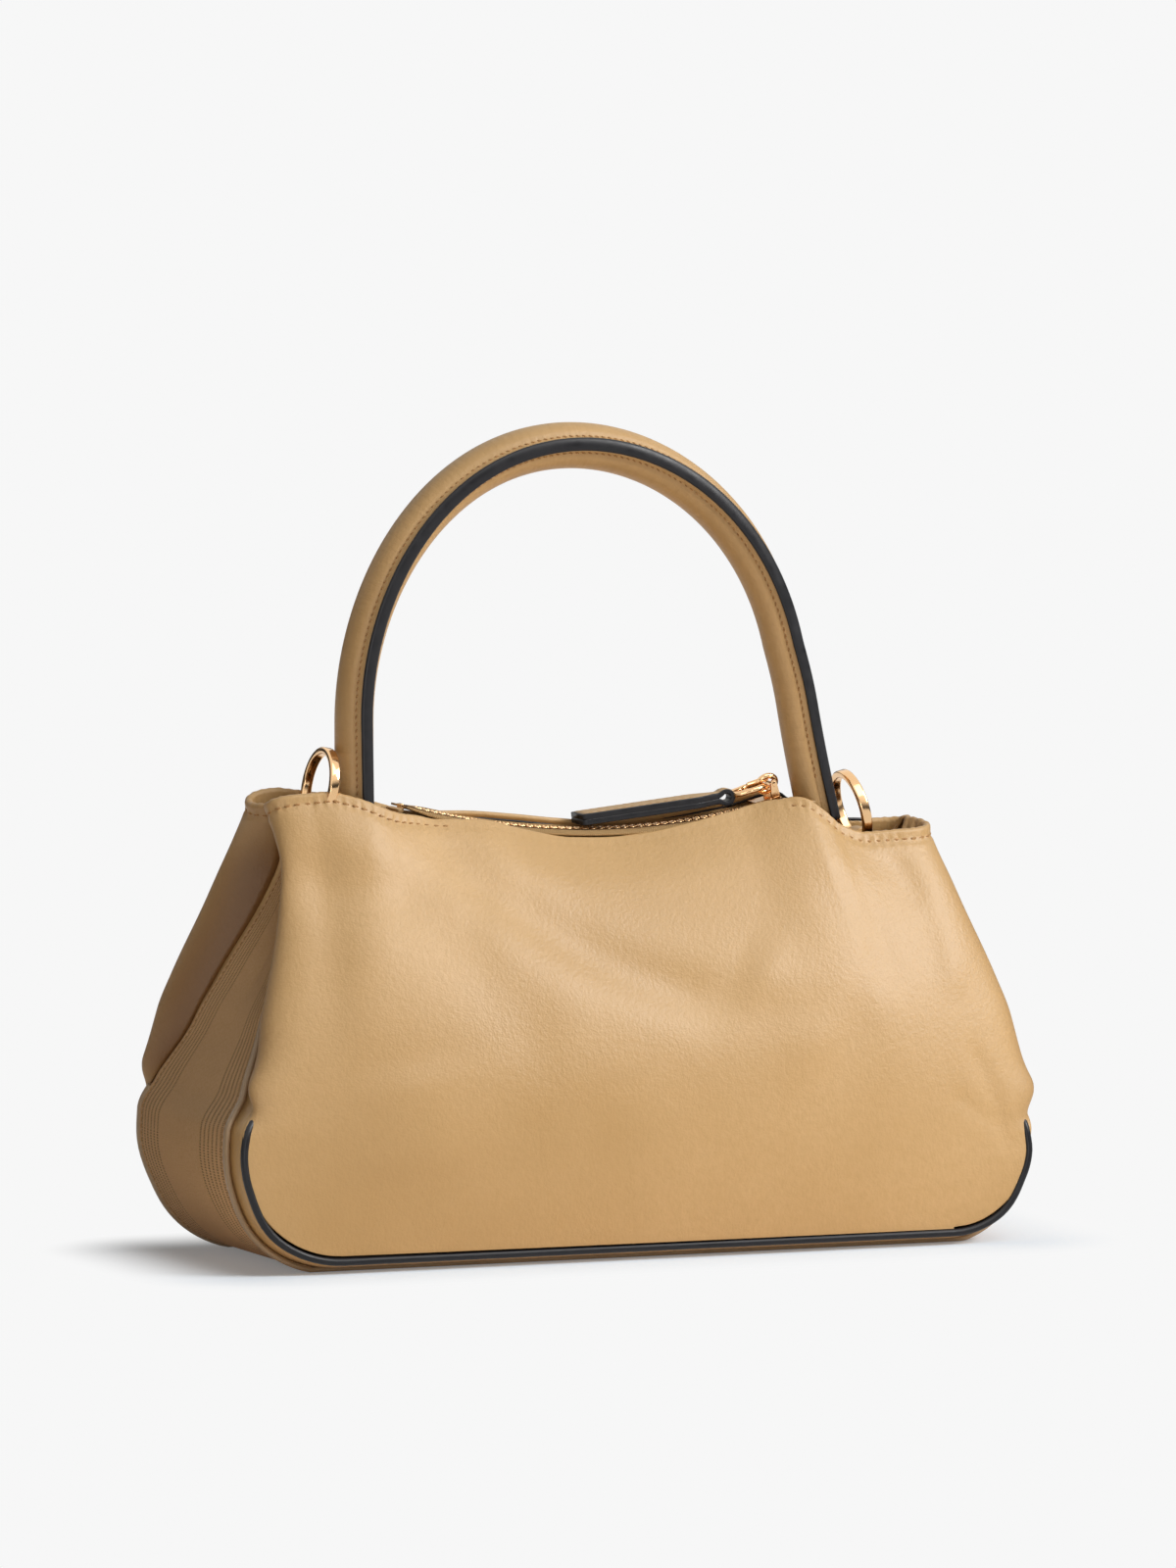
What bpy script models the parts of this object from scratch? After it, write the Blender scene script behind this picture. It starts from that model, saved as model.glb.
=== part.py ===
"""A small soft leather handbag with a rolled top handle, a zip top and a woven band round its gusset.

Metres, +Z up. The bag stands on z = 0 with its length along X and its front towards -Y.
The origin is under the middle of its base. The right end of the top sags lower than the left one.
"""

import math

import bmesh
import bpy
import numpy as np

# Body of the bag
BASE_LENGTH = 0.260
BASE_DEPTH = 0.087
TOP_END_REACH = 0.0305
TOP_DEPTH = 0.0284
BODY_HEIGHT = 0.1435
LEFT_CORNER = 0.035
RIGHT_CORNER = 0.026
FRONT_BULGE = 0.0105
BASE_SAG = 0.0022
LEATHER = 0.0015
CLEARANCE = 0.0003
FOLD_RADIUS = 0.012
GUSSET_TUCK = 0.0125
GUSSET_VALLEY = 0.005
ZIP_EDGE_GAP = 0.0068
FRONT_SKEW = 0.0075

# Painted edges and the woven band
SEAM_EDGE = 0.0024
SEAM_PROUD = 0.0004
BAND_THICKNESS = 0.001

# Lining and base board
LINING = 0.0008
LINING_GAP = 0.0035
LINING_NECK_GAP = 0.0165
LINING_FLOOR_GAP = 0.0011
BOARD_THICKNESS = 0.0016
BOARD_DEPTH = 0.066

# Handle
HANDLE_SPAN = 0.1428
HANDLE_RISE = 0.082
HANDLE_SHIFT = -0.0041
HANDLE_SHOULDER = 0.162
HANDLE_PIVOT = 0.134
HANDLE_SPLAY = -2 * HANDLE_SHIFT
SPLAY_TOP = 0.182
LEG_RADIUS = 0.0059
GRIP_RADIUS = 0.0070
HANDLE_WALL = 0.0015
RIDGE_WIDTH = 0.0038
RIDGE_HEIGHT = 0.0011
EDGE_PAINT = 0.0010
ANCHOR_WIDTH = 0.0105
ANCHOR_DEPTH = 0.0086
SEAM_ROLL_LEFT = math.radians(16)
SEAM_ROLL_RIGHT = math.radians(-28)

# Zip
ZIP_LOW_X = 0.008
ZIP_LOW_Z = 0.1266
ZIP_SAG = 0.0067
ZIP_START_GAP = 0.0195
ZIP_END_GAP = 0.0180
TOOTH_PITCH = 0.0026
TOOTH_WIDTH = 0.00105
TOOTH_LENGTH = 0.0023
TOOTH_OVERLAP = 0.0007
TOOTH_HEIGHT = 0.0018
CORD_WIDTH = 0.0011
TAPE_THICKNESS = 0.0006
TAPE_EDGE = 0.0050
TAPE_OVERRUN = 0.0040
SLIDER_GAP = 0.0155
SLIDER_LENGTH = 0.0090
SLIDER_WIDTH = 0.0082
SLIDER_PLATE = 0.0009
WEDGE_WIDTH = 0.0020
WEDGE_LENGTH = 0.0024
EAR_GAP = 0.0056
EAR_WIDTH = 0.0034
EAR_THICKNESS = 0.0009
PIN_RADIUS = 0.00075
PIN_RISE = 0.00615
PIN_SETBACK = 0.0026
STOP_LENGTH = 0.0013
STAY_LENGTH = 0.0022
STAY_THICKNESS = 0.0012

# Puller
LINK_WIRE = 0.0009
UPPER_LINK_LENGTH = 0.0140
UPPER_LINK_WIDTH = 0.0076
UPPER_LINK_PITCH = math.radians(9)
UPPER_LINK_ROLL = math.radians(30)
LOWER_LINK_LENGTH = 0.0148
LOWER_LINK_WIDTH = 0.0100
LOWER_LINK_PITCH = math.radians(15)
LINK_SLACK = 0.0002
TAB_LENGTH = 0.0525
TAB_WIDTH = 0.0098
TAB_THICKNESS = 0.0034
TAB_NECK = 0.0046
TAB_SHOULDER = 0.0085
TAB_LOOP_BORE = 0.00185
TAB_LOOP_WALL = 0.0013
TAB_PITCH = math.radians(5.8)

# Rings and their tabs
RING_RADIUS = 0.0109
RING_BAND_WIDTH = 0.0031
RING_BAND_THICKNESS = 0.0021
LEFT_RING_GAP = 0.0121
LEFT_RING_Z = 0.1324
LEFT_RING_LEAN = math.radians(11)
RIGHT_RING_GAP = 0.0155
RIGHT_RING_Z = 0.1198
RIGHT_RING_LEAN = math.radians(-14.5)
RING_TAB_WIDTH = 0.0070
RING_TAB_BORE = 0.0028
RING_TAB_WALL = 0.0012
POCKET_FLOOR = 0.0012
POCKET_GAP = 0.0065
LEFT_POCKET_Z = 0.1160
RIGHT_POCKET_Z = 0.1065

# Shares, chosen by hand from the photographed outline
HEM_AT_SHARES = [-1, -0.93, -0.84, -0.75, -0.6, -0.5, -0.34, -0.2, -0.06, 0.05, 0.16, 0.28, 0.42, 0.56,
                 0.62, 0.67, 0.72, 0.79, 0.88, 1]
FRONT_HEM_SHARES = [0.985, 0.999, 0.996, 0.982, 0.944, 0.935, 0.93, 0.905, 0.885, 0.882, 0.888, 0.903,
                    0.926, 0.949, 0.945, 0.92, 0.885, 0.867, 0.869, 0.882]
BACK_HEM_SHARES = [0.985, 0.992, 0.985, 0.975, 0.955, 0.937, 0.933, 0.922, 0.907, 0.898, 0.897, 0.908,
                   0.928, 0.948, 0.945, 0.925, 0.9, 0.885, 0.888, 0.876]
HEIGHT_AT_SHARES = [0, 0.25, 0.33, 0.46, 0.59, 0.81, 0.93, 1]
SEAM_IN_SHARES = [0, 0, 0.14, 0.38, 0.47, 0.62, 0.83, 0.965]
TUCK_SHARES = [0, 0, 0.2, 0.55, 0.75, 1, 0.62, 0.3]
VALLEY_SHARES = [0, 0, 0, 0.3, 0.8, 1, 0.7, 0.4]
SKEW_SHARES = [0, 0.25, 0.95, 0.9, 0.68, 0.35, 0.1, 0]
DRAW_AT_SHARES = [0, 0.16, 0.34, 0.45, 0.67, 0.85, 1]
DRAW_IN_SHARES = [0, 0.02, 0.13, 0.29, 0.67, 0.91, 1]
LEAN_POWER = 1.8
GUSSET_TOP_SHARE = 0.93
BAND_WIDTH_SHARE = 0.79
FLAT_BASE_SHARE = 0.8
FOLD_FULLNESS = 0.15

TOOTH_TIP_SHARE = 0.8
SLIDER_TAIL_SHARE = 0.8
SEAM_FREE_SHARES = (0.18, 0.29)
GRIP_SHARES = (0.12, 0.5)

# How finely the solids are divided
PANEL_COLUMNS = 21
WRAP_COLUMNS = 5
SIDE_STEPS = 8
CORNER_STEPS = 6
BASE_STEPS = 3
BAND_COLUMNS = 5
EDGE_SIDES = 6
LINING_ROWS = 8
LINING_COLUMNS = 28
HANDLE_STEPS = 30
HANDLE_SIDES = 12
CORE_SIDES = 8
TONGUE_STEPS = 8
POCKET_STEPS = 4
TAPE_STEPS = 20
EAR_STEPS = 6
PIN_SIDES = 10
LINK_STEPS = 8
WIRE_SIDES = 8
EYE_STEPS = 14
RING_STEPS = 28
BAND_SIDES = 8

LEG_X = HANDLE_SPAN / 2 - HANDLE_SHIFT
TOP_LENGTH = 2 * (LEG_X + TOP_END_REACH)
ZIP_START = ZIP_START_GAP - LEG_X
ZIP_END = LEG_X - ZIP_END_GAP
ZIP_RADIUS = (ZIP_END - ZIP_START) ** 2 / (8 * ZIP_SAG)
SLIDER_X = LEG_X - SLIDER_GAP
LEFT_RING_X = -LEG_X - LEFT_RING_GAP
RIGHT_RING_X = LEG_X + RIGHT_RING_GAP
POCKET_INNER = LEG_X - POCKET_GAP
LINING_NECK_LENGTH = 2 * (LEG_X - LINING_NECK_GAP)
SIDE_TOP = {-1: BODY_HEIGHT * FRONT_HEM_SHARES[0], 1: BODY_HEIGHT * FRONT_HEM_SHARES[-1]}
SEAM_Z = BAND_THICKNESS + CLEARANCE + BASE_SAG
SEAM_INSET = LEATHER / 2 - SEAM_PROUD
SEAM_SETBACK = SEAM_INSET + SEAM_EDGE / 2 + CLEARANCE
CORNER_SHARE = (LEFT_CORNER + RIGHT_CORNER) / 2 / (BODY_HEIGHT - SEAM_Z)


def material(name, colour, roughness, metallic=0.0):
    """Makes a Principled material from a plain colour."""
    made = bpy.data.materials.new(name)
    made.use_nodes = True
    shader = made.node_tree.nodes["Principled BSDF"]
    shader.inputs["Base Color"].default_value = (*colour, 1)
    shader.inputs["Roughness"].default_value = roughness
    shader.inputs["Metallic"].default_value = metallic
    made.diffuse_color = (*colour, 1)
    return made


def smooth_table(at, shares, where):
    """Reads a table along a smooth curve that never runs past the table's own values."""
    at = np.asarray(at, float)
    shares = np.asarray(shares, float)
    rates = np.diff(shares) / np.diff(at)
    before = rates[:-1]
    after = rates[1:]
    same_way = before * after > 0
    slopes = np.zeros(len(at))
    slopes[1:-1][same_way] = 2 * before[same_way] * after[same_way] / (before + after)[same_way]
    where = np.clip(np.asarray(where, float), at[0], at[-1])
    k = np.clip(np.searchsorted(at, where) - 1, 0, len(at) - 2)
    step = at[k + 1] - at[k]
    t = (where - at[k]) / step
    rise = t * t * (3 - 2 * t)
    leave = step * t * (1 - t) ** 2
    arrive = step * t * t * (t - 1)
    return (1 - rise) * shares[k] + rise * shares[k + 1] + leave * slopes[k] + arrive * slopes[k + 1]


def ease(low, high, value):
    """0 below low, 1 above high, smooth between."""
    t = np.clip((value - low) / (high - low), 0, 1)
    return t * t * (3 - 2 * t)


def zip_height(x):
    """Height of the teeth's middle: the zip hangs in an arc between the ears."""
    return ZIP_LOW_Z + ZIP_RADIUS - math.sqrt(ZIP_RADIUS**2 - (x - ZIP_LOW_X) ** 2)


def corner_radius(u):
    """Radius of the bag's lower corners at a share across: the left one is the rounder."""
    return LEFT_CORNER + (RIGHT_CORNER - LEFT_CORNER) * (1 + np.asarray(u, float)) / 2


def half_length(side, z, inset=0.0):
    """Half of the bag's length at a height: a round corner, less any inset, then a side that draws in."""
    radius = corner_radius(side)
    above = np.clip(z - SEAM_Z, 0, None)
    inset = inset * (1 - ease(0.95, 1.5, above / radius))
    low = np.clip(radius - above, 0, None)
    corner = BASE_LENGTH / 2 - radius + np.sqrt(np.clip((radius - inset)**2 - low**2, 0, None))
    rise = np.clip((above - radius) / (BODY_HEIGHT - SEAM_Z - radius), 0, 1)
    return corner - (BASE_LENGTH - TOP_LENGTH) / 2 * smooth_table(DRAW_AT_SHARES, DRAW_IN_SHARES, rise)


def front_skew(side, v):
    """How far the lower left of the front is pushed in, towards the middle."""
    return FRONT_SKEW * smooth_table(HEIGHT_AT_SHARES, SKEW_SHARES, v) * (np.asarray(side) < 0)


def half_depth(u, v):
    """Half of the bag's depth at a share across, u, and a share of the height, v."""
    across = np.abs(u)
    hem = TOP_DEPTH / 2 + (ZIP_EDGE_GAP - TOP_DEPTH / 2) * (1 - ease(0.5, 0.66, across))
    base = BASE_DEPTH / 2 + (hem - BASE_DEPTH / 2) * v**LEAN_POWER
    swell = np.sin(math.pi * np.clip(v, 0, 1)) ** 0.8 * (1 - across**2.5)
    return base + FRONT_BULGE * swell


def share_of_height(side, z):
    """Share of the height at one end of the bag, -1 or 1. The round corners take the first part of it."""
    radius = float(corner_radius(side))
    above = np.asarray(z - SEAM_Z, float)
    upper = np.clip((above - radius) / (SIDE_TOP[side] - SEAM_Z - radius), 0, 1)
    return CORNER_SHARE * np.clip(above / radius, 0, 1) + (1 - CORNER_SHARE) * upper


def height_of_share(u, v, top):
    """The height for a share of it, where the bag's own top is at a given height."""
    radius = corner_radius(u)
    low = radius * np.clip(v / CORNER_SHARE, 0, 1)
    upper = np.clip((v - CORNER_SHARE) / (1 - CORNER_SHARE), 0, 1)
    return SEAM_Z + low + (top - SEAM_Z - radius) * upper


def seam_point(side, z):
    """Where the side seam lies at a height: (x, half depth), tucked into the end pleat higher up."""
    v = share_of_height(side, z)
    x = half_length(side, z) - GUSSET_TUCK * smooth_table(HEIGHT_AT_SHARES, TUCK_SHARES, v)
    y = half_depth(1.0, v) * (1 - smooth_table(HEIGHT_AT_SHARES, SEAM_IN_SHARES, v))
    return float(side * x), float(y)


def seam_path(steps_side, steps_corner, steps_base, top_share=1.0):
    """Stations along the U of the gusset, left top to right top.

    Each is (side, x, z, half depth, outward x, outward z).
    """
    stations = []
    for side in (-1, 1):
        radius = float(corner_radius(side))
        flat = BASE_LENGTH / 2 - radius
        part = []
        for k in range(steps_base):
            part.append((side * flat * k / steps_base, SEAM_Z, 0.0, -1.0))
        for k in range(steps_corner):
            turn = math.pi / 2 * k / steps_corner
            x = side * (flat + radius * math.sin(turn))
            z = SEAM_Z + radius * (1 - math.cos(turn))
            part.append((x, z, side * math.sin(turn), -math.cos(turn)))
        low = SEAM_Z + radius
        high = float(height_of_share(side, top_share, SIDE_TOP[side]))
        for k in range(steps_side + 1):
            z = low + (high - low) * k / steps_side
            part.append((seam_point(side, z)[0], z, float(side), 0.0))
        rows = []
        for x, z, out_x, out_z in part:
            depth = seam_point(side, z)[1]
            rows.append((side, x, z, depth, out_x, out_z))
        stations.append(rows)
    left, right = stations
    return left[::-1] + right[1:]


def gusset_point(station, share):
    """A point on the gusset's outer skin, share running from -1 at the front seam to 1 at the back one."""
    side, x, z, depth, out_x, out_z = station
    v = share_of_height(side, z)
    across = abs(share)
    level = 1 - np.clip((across - FLAT_BASE_SHARE) / (1 - FLAT_BASE_SHARE), 0, 1) ** 2
    sag = BASE_SAG * level * out_z**2
    valley = GUSSET_VALLEY * smooth_table(HEIGHT_AT_SHARES, VALLEY_SHARES, v) * (1 - across**1.2)
    out = sag - valley
    skew = front_skew(side, v) * (1 - share) / 2 * abs(out_x)
    return np.array([x + out * out_x + skew, share * depth, z + out * out_z])


def panel_row(half, v, hem_shares, columns, wrap_columns):
    """One row of a panel's outer skin, from seam to seam. Half is -1 for the front and 1 for the back."""
    points = []
    reach = 1 - FOLD_RADIUS / (TOP_LENGTH / 2)
    shares = np.linspace(-reach, reach, columns)
    heights = height_of_share(shares, v, BODY_HEIGHT * smooth_table(HEM_AT_SHARES, hem_shares, shares))
    lengths = half_length(np.sign(shares), heights, SEAM_SETBACK + CLEARANCE)
    push = front_skew(shares, v) * (half < 0)
    for u, z, length, pushed in zip(shares, heights, lengths, push):
        points.append((u * length + pushed * ease(0.4, 1, abs(u)), half * half_depth(u, v), z))
    for side in (-1, 1):
        z = float(height_of_share(side, v, SIDE_TOP[side]))
        near = points[0] if side < 0 else points[columns - 1]
        pushed = float(front_skew(side, v)) * (half < 0)
        outer = side * float(half_length(side, z, SEAM_SETBACK + CLEARANCE)) + pushed
        end_x, end_depth = seam_point(side, z)
        end_x += outer - side * float(half_length(side, z))
        fold_depth = float(half_depth(1.0, v))
        soft = float(ease(0.27, 0.42, v))
        bulge = side * (abs(outer - near[0]) + abs(outer - end_x)) * FOLD_FULLNESS
        first = (outer + bulge, fold_depth)
        second = (outer + bulge, end_depth + (fold_depth - end_depth) * 0.45)
        wrap = []
        for k in range(1, wrap_columns + 1):
            t = k / wrap_columns
            a, b, c, d = (1 - t) ** 3, 3 * t * (1 - t) ** 2, 3 * t * t * (1 - t), t**3
            x = a * near[0] + b * first[0] + c * second[0] + d * end_x
            y = a * abs(near[1]) + b * first[1] + c * second[1] + d * end_depth
            level = near[2] + (z - near[2]) * ease(0, 1, t)
            flat_x = near[0] + (end_x - near[0]) * t
            flat_y = float(half_depth(reach + (1 - reach) * t, v)) - (fold_depth - end_depth) * t**2
            wrap.append((flat_x + (x - flat_x) * soft, half * (flat_y + (y - flat_y) * soft), level))
        if side < 0:
            left = wrap[::-1]
        else:
            right = wrap
    return left + points + right


def pull_back(row, distance):
    """Shortens a row of points at both ends by a distance along it."""
    row = np.array(row, float)
    for end, step in ((0, 1), (-1, -1)):
        index = end
        left = distance
        while True:
            along = row[index + step] - row[index]
            length = np.linalg.norm(along)
            if length > left:
                row[index] += along * left / length
                break
            left -= length
            row[index] = row[index + step]
            index += step
        if index != end:
            stop = row[index].copy()
            count = abs(index - end)
            for k in range(count + 1):
                row[end + step * k] = stop + (row[index + step] - stop) * k / (count + 1)
    return row


def finish(name, mesh_data, mat, angle=40):
    """Turns a bmesh into a named object with smooth faces and crisp corners."""
    mesh = bpy.data.meshes.new(name)
    mesh_data.to_mesh(mesh)
    mesh_data.free()
    mesh.materials.append(mat)
    mesh.shade_smooth()
    mesh.set_sharp_from_angle(angle=math.radians(angle))
    made = bpy.data.objects.new(name, mesh)
    bpy.context.collection.objects.link(made)
    return made


def sheet(name, rows, thickness, mat, flip=False):
    """A leather sheet: a grid of points on its outer skin, thickened inwards."""
    data = bmesh.new()
    grid = [[data.verts.new(p) for p in row] for row in rows]
    for upper, lower in zip(grid, grid[1:]):
        for k in range(len(upper) - 1):
            corners = [upper[k], upper[k + 1], lower[k + 1], lower[k]]
            data.faces.new(corners[::-1] if flip else corners)
    made = finish(name, data, mat)
    solid = made.modifiers.new("thickness", "SOLIDIFY")
    solid.thickness = thickness
    solid.offset = -1
    return made


def loft(name, rings, mat, bore=None, angle=40):
    """A solid through closed rings of points, capped at both ends, or with a bore right through."""
    data = bmesh.new()

    def skin(sections, turned):
        made = [[data.verts.new(p) for p in ring] for ring in sections]
        for a, b in zip(made, made[1:]):
            for k in range(len(a)):
                j = (k + 1) % len(a)
                corners = [a[k], a[j], b[j], b[k]]
                data.faces.new(corners[::-1] if turned else corners)
        return made

    outer = skin(rings, False)
    if bore is None:
        data.faces.new(outer[0][::-1])
        data.faces.new(outer[-1])
    else:
        inner = skin(bore, True)
        for a, b, turned in ((outer[0], inner[0], True), (outer[-1], inner[-1], False)):
            for k in range(len(a)):
                j = (k + 1) % len(a)
                corners = [a[k], a[j], b[j], b[k]]
                data.faces.new(corners[::-1] if turned else corners)
    bmesh.ops.recalc_face_normals(data, faces=data.faces)
    return finish(name, data, mat, angle)


def closed_loop(name, sections, mat):
    """A ring-shaped solid: one closed section at each place round a closed path."""
    data = bmesh.new()
    rings = [[data.verts.new(p) for p in section] for section in sections]
    for i, a in enumerate(rings):
        b = rings[(i + 1) % len(rings)]
        for k in range(len(a)):
            j = (k + 1) % len(a)
            data.faces.new([a[k], a[j], b[j], b[k]])
    bmesh.ops.recalc_face_normals(data, faces=data.faces)
    return finish(name, data, mat)


def slab(name, outline, low, high, axis, mat):
    """An outline of (a, b) points pushed along an axis from low to high."""
    places = {
        "x": lambda a, b, h: (h, a, b),
        "y": lambda a, b, h: (a, h, b),
        "z": lambda a, b, h: (a, b, h),
    }
    place = places[axis]
    data = bmesh.new()
    face = data.faces.new([data.verts.new(place(a, b, low)) for a, b in outline])
    pushed = bmesh.ops.extrude_face_region(data, geom=[face])
    moved = [v for v in pushed["geom"] if isinstance(v, bmesh.types.BMVert)]
    shift = np.array(place(0, 0, high)) - np.array(place(0, 0, low))
    bmesh.ops.translate(data, verts=moved, vec=shift)
    bmesh.ops.recalc_face_normals(data, faces=data.faces)
    return finish(name, data, mat)


def panel_rows(half, hem_shares):
    """A panel's outer skin, from its painted edge up to its hem."""
    middle = 2 * SEAM_SETBACK / (LEFT_CORNER + RIGHT_CORNER)
    shares = []
    for k in range(CORNER_STEPS):
        turn = math.pi / 2 * k / CORNER_STEPS
        shares.append(CORNER_SHARE * (1 - (1 - middle) * math.cos(turn)))
    shares += list(np.linspace(CORNER_SHARE, GUSSET_TOP_SHARE, SIDE_STEPS + 1)) + [1]
    rows = []
    for v in shares:
        row = panel_row(half, v, hem_shares, PANEL_COLUMNS, WRAP_COLUMNS)
        free = ease(*SEAM_FREE_SHARES, v) * (1 - ease(GUSSET_TOP_SHARE - 0.03, 1, v))
        rows.append(pull_back(row, (SEAM_SETBACK + CLEARANCE) * free) if free > 0 else row)
    return rows


def moved_out(rows, distance):
    """Shifts a grid of points along its own normals, away from the inside of the bag."""
    grid = np.array(rows, float)
    down = np.gradient(grid, axis=0)
    across = np.gradient(grid, axis=1)
    normals = np.cross(across, down)
    normals /= np.linalg.norm(normals, axis=2)[:, :, None]
    return grid + normals * distance


def body():
    """Panels, gusset, woven band and the painted seam edges."""
    tan = material("tan leather", (0.66, 0.43, 0.20), 0.45)
    edge = material("painted edge", (0.03, 0.03, 0.033), 0.35)
    woven = material("woven band", (0.30, 0.20, 0.115), 0.8)
    sheet("front_panel", panel_rows(-1, FRONT_HEM_SHARES), LEATHER, tan, flip=False)
    sheet("back_panel", panel_rows(1, BACK_HEM_SHARES), LEATHER, tan, flip=True)

    stations = seam_path(SIDE_STEPS, CORNER_STEPS, BASE_STEPS, GUSSET_TOP_SHARE)
    gusset = []
    for station in stations:
        end = 1 - SEAM_SETBACK / station[3]
        reach = BAND_WIDTH_SHARE * min(1, end / GUSSET_TOP_SHARE)
        middle = np.linspace(-reach, reach, BAND_COLUMNS)
        shares = [-end, *middle, end]
        gusset.append([gusset_point(station, share) for share in shares])
    sheet("gusset", gusset, LEATHER, tan, flip=False)
    band = moved_out([row[1:-1] for row in gusset[1:-1]], BAND_THICKNESS + CLEARANCE)
    sheet("woven_band", band, BAND_THICKNESS, woven, flip=False)

    for name, half in (("front_seam_edge", -1), ("back_seam_edge", 1)):
        centres = []
        outs = []
        for side, x, z, depth, out_x, out_z in stations:
            out = np.array([out_x, 0.0, out_z])
            skew = float(front_skew(side, share_of_height(side, z))) * (half < 0) * abs(out_x)
            centres.append(np.array([x + skew, half * (depth - SEAM_INSET), z]) - SEAM_INSET * out)
            outs.append(out)
        rings = []
        centres = np.array(centres)
        along = np.gradient(centres, axis=0)
        for centre, ahead, out in zip(centres, along, outs):
            ahead = ahead / np.linalg.norm(ahead)
            side_way = np.cross(ahead, out)
            side_way /= np.linalg.norm(side_way)
            out = np.cross(side_way, ahead)
            ring = []
            for k in range(EDGE_SIDES):
                turn = 2 * math.pi * (k + 0.5) / EDGE_SIDES
                ring.append(centre + SEAM_EDGE / 2 * (math.cos(turn) * side_way + math.sin(turn) * out))
            rings.append(ring)
        loft(name, rings, edge)


def lining():
    """The lining bag, open along the zip, and the board under it."""
    cloth = material("lining cloth", (0.16, 0.12, 0.09), 0.85)
    card = material("base board", (0.25, 0.2, 0.15), 0.8)
    floor = SEAM_Z - BASE_SAG + LEATHER + CLEARANCE
    left = LEFT_CORNER - BASE_LENGTH / 2 + CLEARANCE
    right = BASE_LENGTH / 2 - RIGHT_CORNER - CLEARANCE
    outline = rounded_box(left, right, -BOARD_DEPTH / 2, BOARD_DEPTH / 2, BOARD_DEPTH / 8)
    slab("base_board", outline, floor, floor + BOARD_THICKNESS, "z", card)
    start = floor + BOARD_THICKNESS + CLEARANCE + LINING_FLOOR_GAP
    data = bmesh.new()
    rings = []
    for k in range(LINING_ROWS + 1):
        share = (k / LINING_ROWS) ** 1.15
        ring = []
        for j in range(LINING_COLUMNS):
            turn = 2 * math.pi * j / LINING_COLUMNS
            level = start + share * (ZIP_LOW_Z - start)
            v = (level - SEAM_Z) / (ZIP_LOW_Z - SEAM_Z)
            end = math.copysign(1, math.cos(turn))
            inner = half_length(end, level) - front_skew(end, v) - LEATHER - 2 * LINING_GAP
            inner -= GUSSET_TUCK * smooth_table(HEIGHT_AT_SHARES, TUCK_SHARES, v)
            inner -= GUSSET_VALLEY * smooth_table(HEIGHT_AT_SHARES, VALLEY_SHARES, v)
            narrow = float(ease(0.42, 0.66, share))
            reach = inner * (1 - narrow) + LINING_NECK_LENGTH / 2 * narrow
            depth = half_depth(0.0, v) - LINING_GAP
            x = reach * math.copysign(abs(math.cos(turn)) ** 0.5, math.cos(turn))
            y = depth * math.copysign(abs(math.sin(turn)) ** 0.5, math.sin(turn))
            rim = zip_height(x) - TOOTH_HEIGHT / 2 - SLIDER_PLATE - 4 * CLEARANCE
            z = start + share * (rim - start)
            ring.append(data.verts.new((x, y, z)))
        rings.append(ring)
    data.faces.new(rings[0][::-1])
    for a, b in zip(rings, rings[1:]):
        for k in range(LINING_COLUMNS):
            j = (k + 1) % LINING_COLUMNS
            data.faces.new([a[k], a[j], b[j], b[k]])
    made = finish("lining", data, cloth)
    solid = made.modifiers.new("thickness", "SOLIDIFY")
    solid.thickness = LINING
    solid.offset = -1


def rounded_box(left, right, low, high, radius, steps=4):
    """Outline of a rectangle with round corners, anticlockwise."""
    points = []
    corners = ((right, low, -90), (right, high, 0), (left, high, 90), (left, low, 180))
    for x, y, start in corners:
        centre_x = x - math.copysign(radius, x - (left + right) / 2)
        centre_y = y - math.copysign(radius, y - (low + high) / 2)
        for k in range(steps + 1):
            turn = math.radians(start + 90 * k / steps)
            points.append((centre_x + radius * math.cos(turn), centre_y + radius * math.sin(turn)))
    return points


def handle_centre(share):
    """Centre line of the handle: a leg, half an ellipse and a leg that splays outwards."""
    arch = math.pi / 2 * (HANDLE_SPAN / 2 + HANDLE_RISE)
    leg = HANDLE_SHOULDER - HANDLE_PIVOT
    total = arch + 2 * leg
    along = share * total
    if along < leg:
        x = -HANDLE_SPAN / 2
        z = HANDLE_PIVOT + along
    elif along > leg + arch:
        x = HANDLE_SPAN / 2
        z = HANDLE_PIVOT + (total - along)
    else:
        turn = math.pi * (along - leg) / arch
        x = -HANDLE_SPAN / 2 * math.cos(turn)
        z = HANDLE_SHOULDER + HANDLE_RISE * math.sin(turn)
    if x > 0:
        low = np.clip((SPLAY_TOP - z) / (SPLAY_TOP - HANDLE_PIVOT), 0, None)
        x += HANDLE_SPLAY * low**1.3
    return np.array([x + HANDLE_SHIFT, 0.0, z])


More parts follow.
